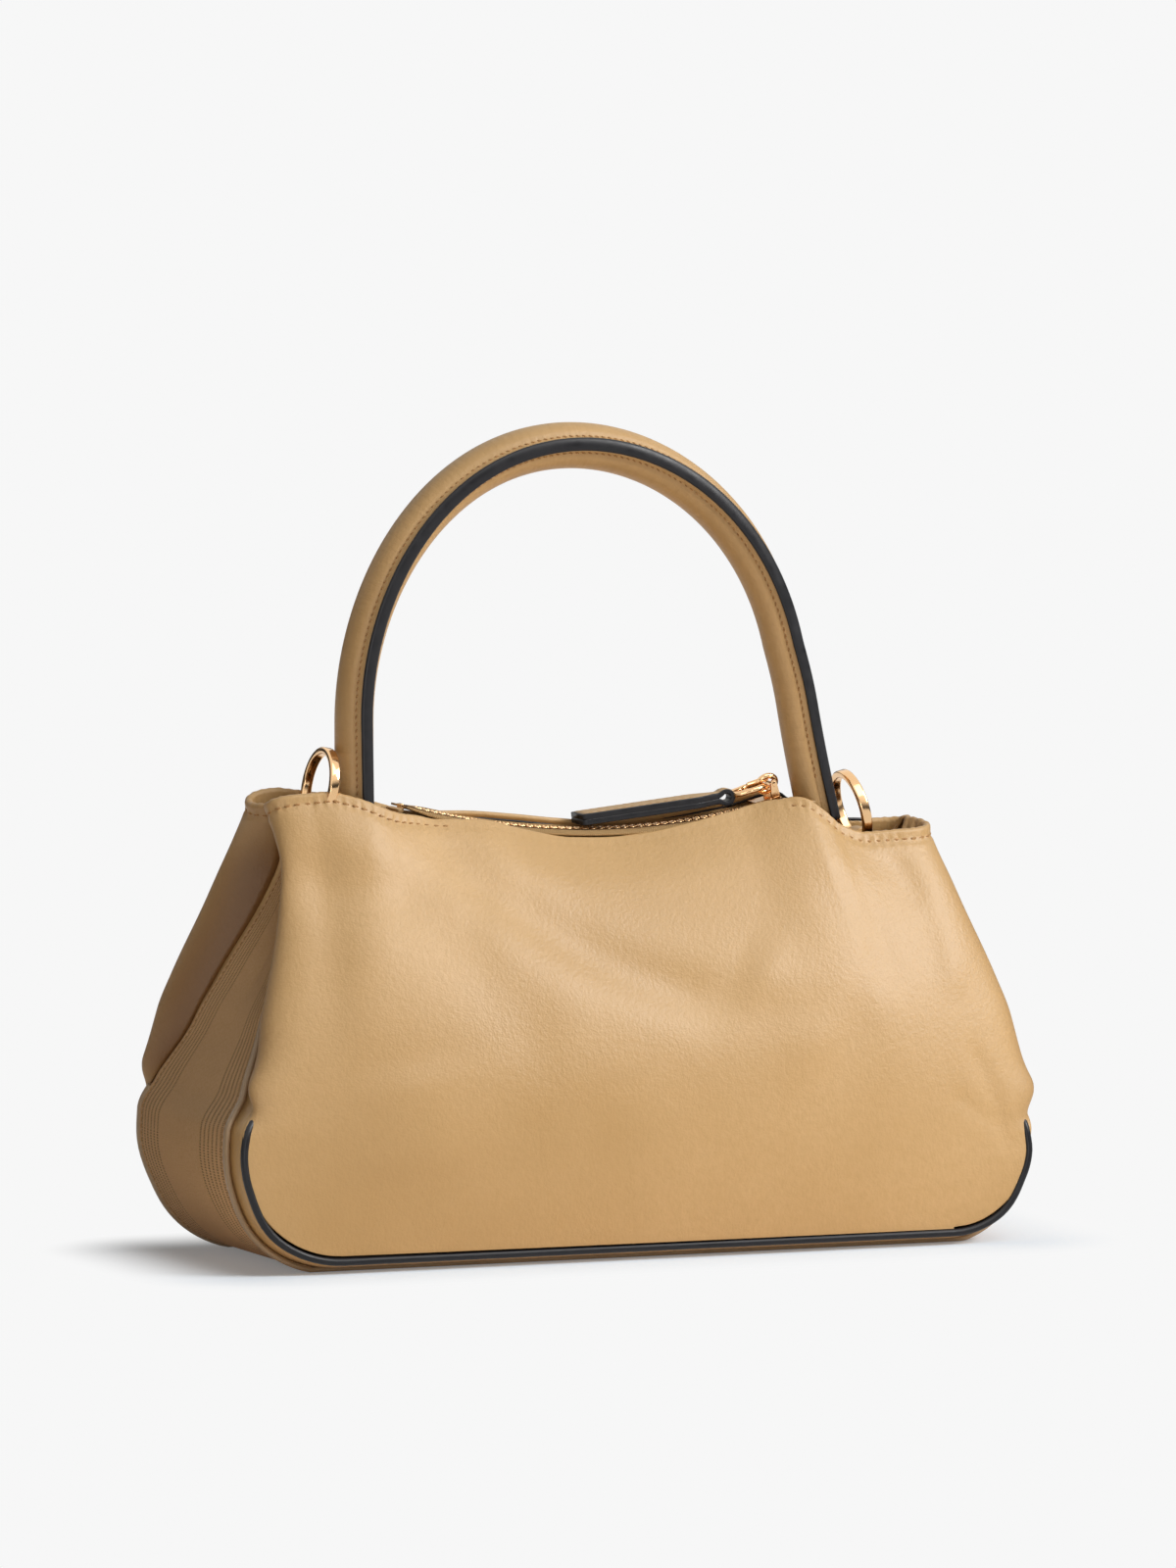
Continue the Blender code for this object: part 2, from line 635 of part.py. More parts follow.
def handle():
    """Rolled handle: a cord core, a leather tube with a sewn ridge, and the ridge's painted edge."""
    tan = material("handle leather", (0.60, 0.38, 0.17), 0.45)
    edge = material("handle edge paint", (0.03, 0.03, 0.033), 0.3)
    rope = material("core cord", (0.7, 0.66, 0.58), 0.9)
    shares = np.linspace(0, 1, HANDLE_STEPS + 1)
    centres = np.array([handle_centre(share) for share in shares])
    along = np.gradient(centres, axis=0)
    along[0] = along[-1] = (0, 0, 0)
    along[0][2] = 1
    along[-1][2] = -1
    tube, bore, core, ridge = [], [], [], []
    for share, centre, ahead in zip(shares, centres, along):
        ahead = ahead / np.linalg.norm(ahead)
        roll = SEAM_ROLL_LEFT + (SEAM_ROLL_RIGHT - SEAM_ROLL_LEFT) * share
        front = np.array([0.0, -1.0, 0.0])
        side = np.cross(ahead, front)
        seam = math.cos(roll) * front + math.sin(roll) * side
        away = np.cross(ahead, seam)
        radius = LEG_RADIUS + (GRIP_RADIUS - LEG_RADIUS) * float(ease(*GRIP_SHARES, min(share, 1 - share)))
        half = RIDGE_WIDTH / 2
        top = radius + RIDGE_HEIGHT
        start = math.asin(half / radius)
        outline = [(top, -half), (top, half)]
        for k in range(HANDLE_SIDES):
            turn = start + (2 * math.pi - 2 * start) * k / (HANDLE_SIDES - 1)
            outline.append((radius * math.cos(turn), radius * math.sin(turn)))
        tube.append([centre + a * seam + b * away for a, b in outline])
        inner = radius - HANDLE_WALL
        turns = [math.atan2(b, a) for a, b in outline]
        bore.append([centre + inner * (math.cos(t) * seam + math.sin(t) * away) for t in turns])
        thin = inner - CLEARANCE
        turns = [2 * math.pi * k / CORE_SIDES for k in range(CORE_SIDES)]
        thin *= math.cos(math.pi / (HANDLE_SIDES + 1))
        core.append([centre + thin * (math.cos(t) * seam + math.sin(t) * away) for t in turns])
        base = top + CLEARANCE
        crown = base + EDGE_PAINT
        paint = [(base, -half), (base + EDGE_PAINT / 2, -half - CLEARANCE / 2), (crown, -half / 2),
                 (crown, half / 2), (base + EDGE_PAINT / 2, half + CLEARANCE / 2), (base, half)]
        ridge.append([centre + a * seam + b * away for a, b in paint])
    moving = [loft("handle_leather", tube, tan, bore), loft("handle_core", core, rope),
              loft("handle_edge", ridge, edge)]
    for name, centre in (("left", centres[0]), ("right", centres[-1])):
        half = []
        for k in range(TONGUE_STEPS + 1):
            turn = math.pi * k / TONGUE_STEPS
            half.append((-LEG_RADIUS * math.cos(turn), centre[2] - CLEARANCE - LEG_RADIUS * math.sin(turn)))
        low = centre[0] - ANCHOR_WIDTH / 2
        moving.append(slab(f"handle_tongue_{name}", half, low, low + ANCHOR_WIDTH, "x", tan))
        floor = (LEFT_POCKET_Z if name == "left" else RIGHT_POCKET_Z) + CLEARANCE
        top = centre[2] - 2 * CLEARANCE - LEG_RADIUS
        waist = ANCHOR_DEPTH / 3
        foot = ANCHOR_DEPTH / 2
        outline = [(-foot, floor), (foot, floor), (waist, floor + foot), (waist, top), (-waist, top),
                   (-waist, floor + foot)]
        slab(f"handle_anchor_{name}", outline, low, low + ANCHOR_WIDTH, "x", tan)
    pivot = bpy.data.objects.new("handle_pivot", None)
    pivot.location = (0, 0, HANDLE_PIVOT)
    bpy.context.collection.objects.link(pivot)
    for piece in moving:
        piece.parent = pivot
        piece.location = (0, 0, -HANDLE_PIVOT)


def pockets():
    """The webs that close the bag under the two open ends where the handle goes in."""
    tan = material("inner leather", (0.55, 0.37, 0.19), 0.55)
    for side, level, name in ((-1, LEFT_POCKET_Z, "left"), (1, RIGHT_POCKET_Z, "right")):
        v = share_of_height(side, level)
        seam_x, seam_depth = seam_point(side, level)
        valley = GUSSET_VALLEY * float(smooth_table(HEIGHT_AT_SHARES, VALLEY_SHARES, v))
        wall = LEATHER + 2 * CLEARANCE
        end = abs(seam_x) - valley - wall
        outline = []
        for x in np.linspace(POCKET_INNER, end - seam_depth / 2, POCKET_STEPS):
            u = x / half_length(side, level)
            outline.append((side * x, half_depth(u, v) - 2 * wall))
        outline.append((side * (end - wall), seam_depth / 2))
        outline.append((side * end, wall))
        outline += [(x, -y) for x, y in outline[::-1]]
        slab(f"pocket_floor_{name}", outline, level - POCKET_FLOOR, level, "z", tan)


def tooth_row(name, half, mat):
    """One side of the zip: a woven edge cord with metal teeth grown from its inner side."""
    data = bmesh.new()
    phase = 0.0 if half < 0 else 0.5
    count = int((ZIP_END - ZIP_START) / TOOTH_PITCH)
    inner = TOOTH_LENGTH - TOOTH_OVERLAP
    places = [(ZIP_START - TOOTH_PITCH, False)]
    for k in range(count):
        middle = ZIP_START + TOOTH_PITCH * (k + 0.5 + phase)
        places.append((middle - TOOTH_WIDTH / 2, True))
        places.append((middle + TOOTH_WIDTH / 2, False))
    places.append((places[-1][0] + TOOTH_PITCH / 2, False))
    rings = []
    for x, _ in places:
        z = zip_height(x)
        tall = TOOTH_HEIGHT / 2
        corners = [(inner, -tall), (inner + CORD_WIDTH, -tall), (inner + CORD_WIDTH, tall), (inner, tall)]
        rings.append([data.verts.new((x, half * y, z + up)) for y, up in corners])
    faces = []
    data.faces.new(rings[0])
    data.faces.new(rings[-1][::-1])
    for (a, b), (_, grows) in zip(zip(rings, rings[1:]), places):
        for k in range(4):
            j = (k + 1) % 4
            face = data.faces.new([a[k], b[k], b[j], a[j]])
            if k == 3 and grows:
                faces.append(face)
    bmesh.ops.recalc_face_normals(data, faces=data.faces)
    grown = bmesh.ops.extrude_discrete_faces(data, faces=faces)["faces"]
    for face in grown:
        for vert in face.verts:
            vert.co.y -= half * TOOTH_LENGTH
        middle = face.calc_center_median()
        for vert in face.verts:
            vert.co.z = middle.z + (vert.co.z - middle.z) * TOOTH_TIP_SHARE
    return finish(name, data, mat, 30)


def zip_parts():
    """Teeth, tapes, stops and the stays at the zip's ends."""
    brass = material("zip brass", (0.80, 0.58, 0.30), 0.25, 1.0)
    tape = material("zip tape", (0.60, 0.42, 0.22), 0.8)
    tan = material("zip stay leather", (0.62, 0.40, 0.19), 0.5)
    inner = TOOTH_LENGTH - TOOTH_OVERLAP
    for name, half in (("front", -1), ("back", 1)):
        tooth_row(f"zip_teeth_{name}", half, brass)
        rows = []
        for x in np.linspace(ZIP_START - TAPE_OVERRUN, SLIDER_X + SLIDER_LENGTH / 2, TAPE_STEPS):
            top = zip_height(x) + TAPE_THICKNESS / 2
            near = inner + CORD_WIDTH + CLEARANCE
            rows.append([(x, half * near, top), (x, half * TAPE_EDGE, top)])
        sheet(f"zip_tape_{name}", rows, TAPE_THICKNESS, tape, flip=half < 0)
        stop_x = SLIDER_X + SLIDER_LENGTH / 2 + CLEARANCE
        stop = rounded_box(stop_x, stop_x + STOP_LENGTH, inner, inner + CORD_WIDTH, STOP_LENGTH / 4, 2)
        z = zip_height(stop_x)
        made = [(x, half * y) for x, y in stop]
        slab(f"zip_stop_{name}", made, z - TOOTH_HEIGHT / 2, z + TOOTH_HEIGHT / 2, "z", brass)
    end = ZIP_START - TOOTH_PITCH - CLEARANCE
    z = zip_height(end)
    stop = rounded_box(end - STOP_LENGTH, end, -inner, inner, STOP_LENGTH / 4, 2)
    slab("zip_stop_closed_end", stop, z - TOOTH_HEIGHT / 2, z + TOOTH_HEIGHT / 2, "z", brass)
    left = ZIP_START - TAPE_OVERRUN - CLEARANCE
    right = stop_x + STOP_LENGTH + CLEARANCE
    for name, low in (("left", left - STAY_LENGTH), ("right", right)):
        z = zip_height(low)
        stay = rounded_box(low, low + STAY_LENGTH, -TAPE_EDGE, TAPE_EDGE, STAY_LENGTH / 3, 3)
        slab(f"zip_stay_{name}", stay, z - STAY_THICKNESS / 2, z + STAY_THICKNESS / 2, "z", tan)


def slider_frame():
    """Where the slider sits on its arc: (place, direction of travel, up, tilt)."""
    tilt = math.asin((SLIDER_X - ZIP_LOW_X) / ZIP_RADIUS)
    place = np.array([SLIDER_X, 0.0, zip_height(SLIDER_X)])
    ahead = np.array([math.cos(tilt), 0.0, math.sin(tilt)])
    up = np.array([-math.sin(tilt), 0.0, math.cos(tilt)])
    return place, ahead, up, tilt


def pin_place():
    """Centre of the pin that the upper link turns on."""
    place, ahead, up, _ = slider_frame()
    return place + PIN_SETBACK * ahead + PIN_RISE * up


def slider():
    """Slider: two plates joined by a wedge that parts the teeth, and two ears with the puller's pin."""
    brass = material("slider gold", (0.83, 0.60, 0.34), 0.2, 1.0)
    _, _, _, tilt = slider_frame()
    centre = bpy.data.objects.new("zip_arc_centre", None)
    centre.location = (ZIP_LOW_X, 0, ZIP_LOW_Z + ZIP_RADIUS)
    centre.rotation_euler = (0, -tilt, 0)
    bpy.context.collection.objects.link(centre)
    half = SLIDER_LENGTH / 2
    wide = SLIDER_WIDTH / 2
    narrow = wide * SLIDER_TAIL_SHARE
    shape = [(-half, -narrow), (0, -narrow), (half / 2, -wide), (half * 0.85, -wide), (half, -wide * 0.6),
             (half, wide * 0.6), (half * 0.85, wide), (half / 2, wide), (0, narrow), (-half, narrow)]
    gap = TOOTH_HEIGHT / 2 + CLEARANCE
    down = -ZIP_RADIUS
    body_piece = slab("zip_slider", shape, down + gap, down + gap + SLIDER_PLATE, "z", brass)
    sink = SLIDER_PLATE / 3
    thin = WEDGE_WIDTH / 2
    wedge = rounded_box(half - WEDGE_LENGTH, half - CLEARANCE, -thin, thin, WEDGE_WIDTH / 3, 3)
    parts = [
        slab("slider_under_plate", shape, down - gap - SLIDER_PLATE, down - gap, "z", brass),
        slab("slider_wedge", wedge, down - gap - sink, down + gap + sink, "z", brass),
    ]
    pin_z = down + PIN_RISE
    reach = EAR_WIDTH / 2
    for way in (-1, 1):
        ear = [(PIN_SETBACK - reach, down + gap + sink)]
        for k in range(EAR_STEPS + 1):
            turn = math.pi * k / EAR_STEPS
            ear.append((PIN_SETBACK - reach * math.cos(turn), pin_z + (reach - sink) * math.sin(turn)))
        ear.append((PIN_SETBACK + reach, down + gap + sink))
        low, high = sorted((way * EAR_GAP / 2, way * (EAR_GAP / 2 + EAR_THICKNESS)))
        parts.append(slab(f"slider_ear_{'back' if way > 0 else 'front'}", ear, low, high, "y", brass))
    round_pin = []
    for k in range(PIN_SIDES):
        turn = 2 * math.pi * k / PIN_SIDES
        round_pin.append((PIN_SETBACK + PIN_RADIUS * math.cos(turn), pin_z + PIN_RADIUS * math.sin(turn)))
    over = EAR_GAP / 2 + EAR_THICKNESS + sink
    parts.append(slab("slider_pin", round_pin, -over, over, "y", brass))
    for part in parts:
        part.hide_render = True
        part.display_type = "WIRE"
        part.parent = centre
        joined = body_piece.modifiers.new(part.name, "BOOLEAN")
        joined.operation = "UNION"
        joined.object = part
    body_piece.parent = centre


def link(name, place, direction, roll, length, width, pivot, mat):
    """An oval link of round wire, its long way along a direction in the XZ plane."""
    direction = direction / np.linalg.norm(direction)
    flat = np.array([0.0, 1.0, 0.0])
    upright = np.cross(direction, flat)
    wide_way = math.cos(roll) * flat + math.sin(roll) * upright
    normal = np.cross(direction, wide_way)
    turn_radius = width / 2 - LINK_WIRE
    straight = length / 2 - width / 2
    sections = []
    for end in (1, -1):
        for k in range(LINK_STEPS + 1):
            turn = -math.pi / 2 + math.pi * k / LINK_STEPS
            outward = end * (math.cos(turn) * direction + math.sin(turn) * wide_way)
            centre = place + end * straight * direction + turn_radius * outward
            section = []
            for j in range(WIRE_SIDES):
                angle = 2 * math.pi * j / WIRE_SIDES
                round_wire = math.cos(angle) * outward + math.sin(angle) * normal
                section.append(centre + LINK_WIRE * round_wire - pivot)
            sections.append(section)
    made = closed_loop(name, sections, mat)
    made.location = pivot
    return made


def puller():
    """Two links and the leather tab that the slider is pulled by."""
    brass = material("puller gold", (0.85, 0.62, 0.36), 0.18, 1.0)
    tan = material("pull tab leather", (0.63, 0.42, 0.20), 0.45)
    pin = pin_place()
    left = np.array([-math.cos(UPPER_LINK_PITCH), 0, -math.sin(UPPER_LINK_PITCH)])
    inner = UPPER_LINK_WIDTH / 2 - 2 * LINK_WIRE - PIN_RADIUS - CLEARANCE
    middle = pin + left * (inner + (UPPER_LINK_LENGTH - UPPER_LINK_WIDTH) / 2)
    roll = math.pi / 2 - UPPER_LINK_ROLL
    link("pull_link_upper", middle, left, roll, UPPER_LINK_LENGTH, UPPER_LINK_WIDTH, pin, brass)
    joint = pin + left * (PIN_RADIUS + LINK_WIRE + CLEARANCE + LINK_SLACK)
    down = np.array([-math.cos(LOWER_LINK_PITCH), 0, -math.sin(LOWER_LINK_PITCH)])
    middle = joint + down * (LOWER_LINK_LENGTH / 2 - LINK_WIRE)
    link("pull_link_lower", middle, down, 0.0, LOWER_LINK_LENGTH, LOWER_LINK_WIDTH, joint, brass)
    eye = joint + down * (LOWER_LINK_LENGTH - 2 * LINK_WIRE)
    print("puller joints", np.round(pin, 5), np.round(joint, 5), np.round(eye, 5))
    loop = (TAB_LOOP_BORE, TAB_LOOP_WALL)
    widths = (TAB_WIDTH, TAB_NECK, TAB_SHOULDER)
    strap_profile("pull_tab", eye, math.pi + TAB_PITCH, TAB_LENGTH, TAB_THICKNESS, loop, widths, tan)


def strap_profile(name, eye, heading, length, thickness, loop, widths, mat):
    """A strap with an eye at one end, drawn from the side and pushed across.

    The loop is (bore, wall). The widths are the strap's, the eye's and the length of the shoulder between.
    """
    bore, wall = loop
    width, neck, shoulder = widths
    outer = bore + wall
    half = thickness / 2
    start = math.asin(half / outer)
    outline = [(length, -half), (length, half)]
    stops = [(outer + shoulder, half), (outer, half)]
    outline += stops
    for k in range(EYE_STEPS + 1):
        turn = start + (2 * math.pi - 2 * start) * k / EYE_STEPS
        outline.append((outer * math.cos(turn), outer * math.sin(turn)))
    outline += [(a, -b) for a, b in stops[::-1]]
    hole = []
    for k in range(EYE_STEPS):
        turn = 2 * math.pi * k / EYE_STEPS
        hole.append((bore * math.cos(turn), bore * math.sin(turn)))
    data = bmesh.new()
    edges = []
    for line in (outline, hole):
        verts = [data.verts.new((a, -0.5, b)) for a, b in line]
        edges += [data.edges.new((verts[k], verts[(k + 1) % len(verts)])) for k in range(len(verts))]
    filled = bmesh.ops.triangle_fill(data, use_beauty=True, use_dissolve=False, edges=edges)
    faces = [g for g in filled["geom"] if isinstance(g, bmesh.types.BMFace)]
    pushed = bmesh.ops.extrude_face_region(data, geom=faces)
    moved = [v for v in pushed["geom"] if isinstance(v, bmesh.types.BMVert)]
    bmesh.ops.translate(data, verts=moved, vec=(0, 1, 0))
    bmesh.ops.recalc_face_normals(data, faces=data.faces)
    ahead = (math.cos(heading), math.sin(heading))
    for vert in data.verts:
        a, across, b = vert.co
        wide = neck + (width - neck) * float(ease(outer, outer + shoulder, a))
        vert.co = (a * ahead[0] - b * ahead[1], across * wide, a * ahead[1] + b * ahead[0])
    made = finish(name, data, mat)
    made.location = eye
    return made


def rings():
    """The two strap rings and the leather loops that hold them."""
    brass = material("ring gold", (0.86, 0.66, 0.40), 0.15, 1.0)
    tan = material("ring tab leather", (0.62, 0.42, 0.22), 0.5)
    places = (
        ("left", LEFT_RING_X, LEFT_RING_Z, LEFT_RING_LEAN, LEFT_POCKET_Z),
        ("right", RIGHT_RING_X, RIGHT_RING_Z, RIGHT_RING_LEAN, RIGHT_POCKET_Z),
    )
    for name, x, z, lean, floor in places:
        pivot = np.array([x, 0.0, z])
        up = np.array([math.sin(lean), 0.0, math.cos(lean)])
        flat = np.array([0.0, 1.0, 0.0])
        normal = np.cross(flat, up)
        centre = pivot + RING_RADIUS * up
        sections = []
        for k in range(RING_STEPS):
            turn = 2 * math.pi * k / RING_STEPS
            outward = math.cos(turn) * up + math.sin(turn) * flat
            middle = centre + RING_RADIUS * outward
            section = []
            for j in range(BAND_SIDES):
                angle = 2 * math.pi * (j + 0.5) / BAND_SIDES
                section.append(middle + RING_BAND_THICKNESS / 2 * math.cos(angle) * outward
                               + RING_BAND_WIDTH / 2 * math.sin(angle) * normal - pivot)
            sections.append(section)
        made = closed_loop(f"ring_{name}", sections, brass)
        made.location = pivot
        length = z - floor - CLEARANCE
        loop = (RING_TAB_BORE, RING_TAB_WALL)
        widths = (RING_TAB_WIDTH, RING_TAB_WIDTH, RING_TAB_WALL)
        strap_profile(f"ring_tab_{name}", pivot, -math.pi / 2, length, 2 * RING_TAB_WALL, loop, widths, tan)


def main():
    for old in list(bpy.data.objects):
        bpy.data.objects.remove(old, do_unlink=True)
    body()
    lining()
    pockets()
    handle()
    zip_parts()
    slider()
    puller()
    rings()


main()
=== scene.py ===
# %% [markdown]
# A small soft leather handbag: a zip top, a rolled top handle, two strap rings and a woven band that
# runs down both ends and under the base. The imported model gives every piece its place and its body,
# and this file dresses it: fine shells for the leather, cut pieces for the metal, and a finish for each.

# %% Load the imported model
import math
import bpy
import numpy as np
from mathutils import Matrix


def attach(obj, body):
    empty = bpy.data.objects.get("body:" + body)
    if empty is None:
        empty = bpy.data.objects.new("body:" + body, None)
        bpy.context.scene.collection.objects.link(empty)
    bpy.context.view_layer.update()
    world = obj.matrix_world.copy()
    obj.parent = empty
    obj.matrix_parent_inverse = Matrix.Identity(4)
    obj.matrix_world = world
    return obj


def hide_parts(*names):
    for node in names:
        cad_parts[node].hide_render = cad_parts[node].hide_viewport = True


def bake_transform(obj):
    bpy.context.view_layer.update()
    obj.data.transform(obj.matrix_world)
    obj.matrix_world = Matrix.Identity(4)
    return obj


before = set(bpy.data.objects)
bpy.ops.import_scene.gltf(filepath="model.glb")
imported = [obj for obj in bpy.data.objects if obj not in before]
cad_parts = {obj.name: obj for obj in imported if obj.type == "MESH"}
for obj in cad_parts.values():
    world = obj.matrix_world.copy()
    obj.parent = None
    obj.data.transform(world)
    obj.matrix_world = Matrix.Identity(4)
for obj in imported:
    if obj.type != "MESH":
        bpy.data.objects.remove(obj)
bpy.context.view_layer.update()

# %% [markdown]
# The camera stands far off, a little to the left of the front and a little above, and sees the bag
# almost without perspective. Its place is worked out from two directions and the size of the picture
# at the bag. The frame is 3 wide to 4 high, so the lens is set from the height.

# %% Camera
AZIMUTH = math.radians(22)
ELEVATION = math.radians(5.5)
CAMERA_DISTANCE = 6.0
FRAME_HEIGHT = 0.4768
AIM_RIGHT = 0.0015
AIM_UP = 0.1401
SENSOR_MM = 36.0

right = np.array([math.cos(AZIMUTH), -math.sin(AZIMUTH), 0.0])
back = np.array([-math.sin(AZIMUTH) * math.cos(ELEVATION), -math.cos(AZIMUTH) * math.cos(ELEVATION),
                 math.sin(ELEVATION)])
place = AIM_RIGHT * right + AIM_UP * np.cross(back, right) + CAMERA_DISTANCE * back
bpy.ops.object.camera_add(location=place, rotation=(math.pi / 2 - ELEVATION, 0, -AZIMUTH))
camera = bpy.context.object
camera.name = "camera"
camera.data.sensor_width = SENSOR_MM
camera.data.lens = SENSOR_MM * CAMERA_DISTANCE / FRAME_HEIGHT
bpy.context.scene.camera = camera
print("lens", round(camera.data.lens, 1))

# %% [markdown]
# Every finish is a small recipe of nodes. These helpers keep the recipes short: add makes a node and
# feeds it, finish makes a Principled material, texture reads the piece's own coordinates, and bump
# turns heights into relief.

# %% Node helpers
def feed(tree, made, feeds):
    """Sets a node's inputs: a plain value is stored, and another node's output is linked."""
    for key, value in feeds.items():
        if isinstance(value, bpy.types.NodeSocket):
            tree.links.new(value, made.inputs[key])
        else:
            made.inputs[key].default_value = value


def add(tree, kind, feeds=None, **settings):
    """Adds a shader node with its settings and feeds its inputs."""
    made = tree.nodes.new("ShaderNode" + kind)
    for key, value in settings.items():
        setattr(made, key, value)
    feed(tree, made, feeds or {})
    return made


def calc(tree, kind, *values):
    """A Math node on outputs or plain numbers."""
    return add(tree, "Math", dict(enumerate(values)), operation=kind).outputs[0]


def finish(name, colour, roughness, metallic=0.0, specular=0.5):
    """A Principled material with a plain colour. Gives (material, node tree, shader)."""
    made = bpy.data.materials.new(name)
    made.use_nodes = True
    made.diffuse_color = (*colour, 1)
    shader = made.node_tree.nodes["Principled BSDF"]
    feed(made.node_tree, shader, {"Base Color": (*colour, 1), "Roughness": roughness,
                                  "Metallic": metallic, "Specular IOR Level": specular})
    return made, made.node_tree, shader


def texture(tree, kind, scale, detail=None, source="Object", stretch=(1, 1, 1), **settings):
    """A texture's value at so many cells a metre, on Object or UV coordinates."""
    place = add(tree, "TexCoord").outputs[source]
    fit = add(tree, "Mapping", {"Vector": place, "Scale": stretch}).outputs[0]
    made = add(tree, "Tex" + kind, {"Vector": fit, "Scale": scale}, **settings)
    if detail is not None:
        feed(tree, made, {"Detail": detail})
    return made.outputs["Distance" if kind == "Voronoi" else "Fac"]


def levels(tree, value, low, high, to_low=0.0, to_high=1.0, **settings):
    """Stretches values from low..high to a new range."""
    feeds = {"Value": value, "From Min": low, "From Max": high, "To Min": to_low, "To Max": to_high}
    return add(tree, "MapRange", feeds, **settings).outputs["Result"]


def blend_colours(tree, factor, first, second):
    """Mixes two colours, each a plain one or another node's, by a factor."""
    first, second = [(*colour, 1) if isinstance(colour, tuple) else colour for colour in (first, second)]
    return add(tree, "Mix", {"Factor": factor, 6: first, 7: second}, data_type="RGBA").outputs[2]


def bump(tree, shader, height, depth, strength=1.0, below=None):
    """Feeds a height to the shader's normal, over another bump if one is given. Depth is in metres."""
    feeds = {"Strength": strength, "Distance": depth, "Height": height}
    if below is not None:
        feeds["Normal"] = below
    feed(tree, shader, {"Normal": add(tree, "Bump", feeds).outputs[0]})


def uv_parts(tree):
    """The two measures of the UV map, in metres."""
    parts = add(tree, "SeparateXYZ", {0: add(tree, "TexCoord").outputs["UV"]})
    return parts.outputs[0], parts.outputs[1]


def ripple(tree, measure, pitch):
    """A wave from 0 to 1 with a pitch in metres."""
    turn = calc(tree, "MULTIPLY", measure, 2 * math.pi / pitch)
    return calc(tree, "MULTIPLY_ADD", calc(tree, "SINE", turn), 0.5, 0.5)


# %% [markdown]
# A product picture has soft light from large panels. One big lamp stands high at the right and gives
# the shade on the left end. The world fills the rest. The floor runs far back, takes the bag's shadow
# near it, and is plain pale paper further off.

# %% Lights, world and floor
PAPER = (0.93, 0.93, 0.93)
WORLD_LIGHT = 0.07
# Name, place, height of the point it aims at, watts and size.
LAMPS = (
    ("key lamp", (1.42, -1.22, 1.30), 0.09, 34.0, 0.9),
    ("top lamp", (0.35, -1.1, 1.75), 0.1, 9.0, 1.2),
    ("low fill lamp", (-0.85, -2.0, 0.2), 0.06, 6.5, 0.7),
)
FLOOR_REACH = 30.0
FLOOR_TONE = (0.80, 0.90, 1.0)
FLOOR_BOUNCE = (0.95, 0.80, 0.63)
FLOOR_GLOW = 0.16
FOOTPRINT = (0.118, 0.034, 0)
SHADOW_REACH = 0.044


def paper_material():
    """Pale paper: lit near the bag, so that it keeps the shadow, and plain further off."""
    made, tree, shader = finish("pale paper", FLOOR_TONE, 0.9, specular=0.0)
    rays = add(tree, "LightPath").outputs
    bounce = rays["Is Diffuse Ray"]
    feed(tree, shader, {"Base Color": blend_colours(tree, bounce, FLOOR_TONE, FLOOR_BOUNCE),
                        "Emission Color": (1, 1, 1, 1),
                        "Emission Strength": levels(tree, bounce, 0, 1, FLOOR_GLOW, 0)})
    plain = add(tree, "Emission", {"Color": (*PAPER, 1)})
    seen = calc(tree, "MAXIMUM", rays["Is Camera Ray"], rays["Is Glossy Ray"])
    seen = calc(tree, "MAXIMUM", seen, rays["Is Transmission Ray"])
    apart = add(tree, "TexCoord").outputs["Object"]
    for kind, feeds in (("ABSOLUTE", {}), ("SUBTRACT", {1: FOOTPRINT}), ("MAXIMUM", {})):
        apart = add(tree, "VectorMath", {0: apart, **feeds}, operation=kind).outputs[0]
    apart = add(tree, "VectorMath", {0: apart}, operation="LENGTH").outputs["Value"]
    fade = levels(tree, apart, 0, SHADOW_REACH, interpolation_type="SMOOTHSTEP")
    mix = add(tree, "MixShader", {0: calc(tree, "MULTIPLY", fade, seen), 1: shader.outputs[0],
                                  2: plain.outputs[0]})
    feed(tree, tree.nodes["Material Output"], {"Surface": mix.outputs[0]})
    return made


def pale_world():
    """A pale world: white paper to the eye, soft as light, and darker low down where metal mirrors it."""
    world = bpy.data.worlds.new("studio")
    bpy.context.scene.world = world
    world.use_nodes = True
    tree = world.node_tree
    light = tree.nodes["Background"]
    feed(tree, light, {"Color": (1, 0.9, 0.79, 1), "Strength": WORLD_LIGHT})
    seen = add(tree, "Background", {"Color": (*PAPER, 1)})
    rays = add(tree, "LightPath").outputs
    height = add(tree, "SeparateXYZ", {0: add(tree, "TexCoord").outputs["Generated"]}).outputs["Z"]
    rise = levels(tree, height, 0.1, 0.42, 0.05, 1.1, interpolation_type="SMOOTHSTEP")
    mirrored = add(tree, "Background", {"Color": (1, 0.985, 0.96, 1), "Strength": rise})
    shiny = add(tree, "MixShader", {0: rays["Is Glossy Ray"], 1: light.outputs[0], 2: mirrored.outputs[0]})
    either = calc(tree, "MAXIMUM", rays["Is Camera Ray"], rays["Is Transmission Ray"])
    mix = add(tree, "MixShader", {0: either, 1: shiny.outputs[0], 2: seen.outputs[0]})
    feed(tree, tree.nodes["World Output"], {"Surface": mix.outputs[0]})


bpy.context.scene.view_settings.view_transform = "Standard"
pale_world()
for name, place, aim, watts, size in LAMPS:
    bpy.ops.object.light_add(type="AREA", location=place)
    lamp = bpy.context.object
    lamp.name = name
    lamp.data.energy = watts
    lamp.data.size = size
    x, y, z = np.array((0, 0, aim)) - place
    lamp.rotation_euler = (math.atan2(math.hypot(x, y), -z), 0, math.atan2(-x, y))
bpy.ops.mesh.primitive_plane_add(size=2 * FLOOR_REACH, location=(0, 0, 0))
floor = bpy.context.object
floor.name = "paper_floor"
floor.data.materials.append(paper_material())
print("studio ready")

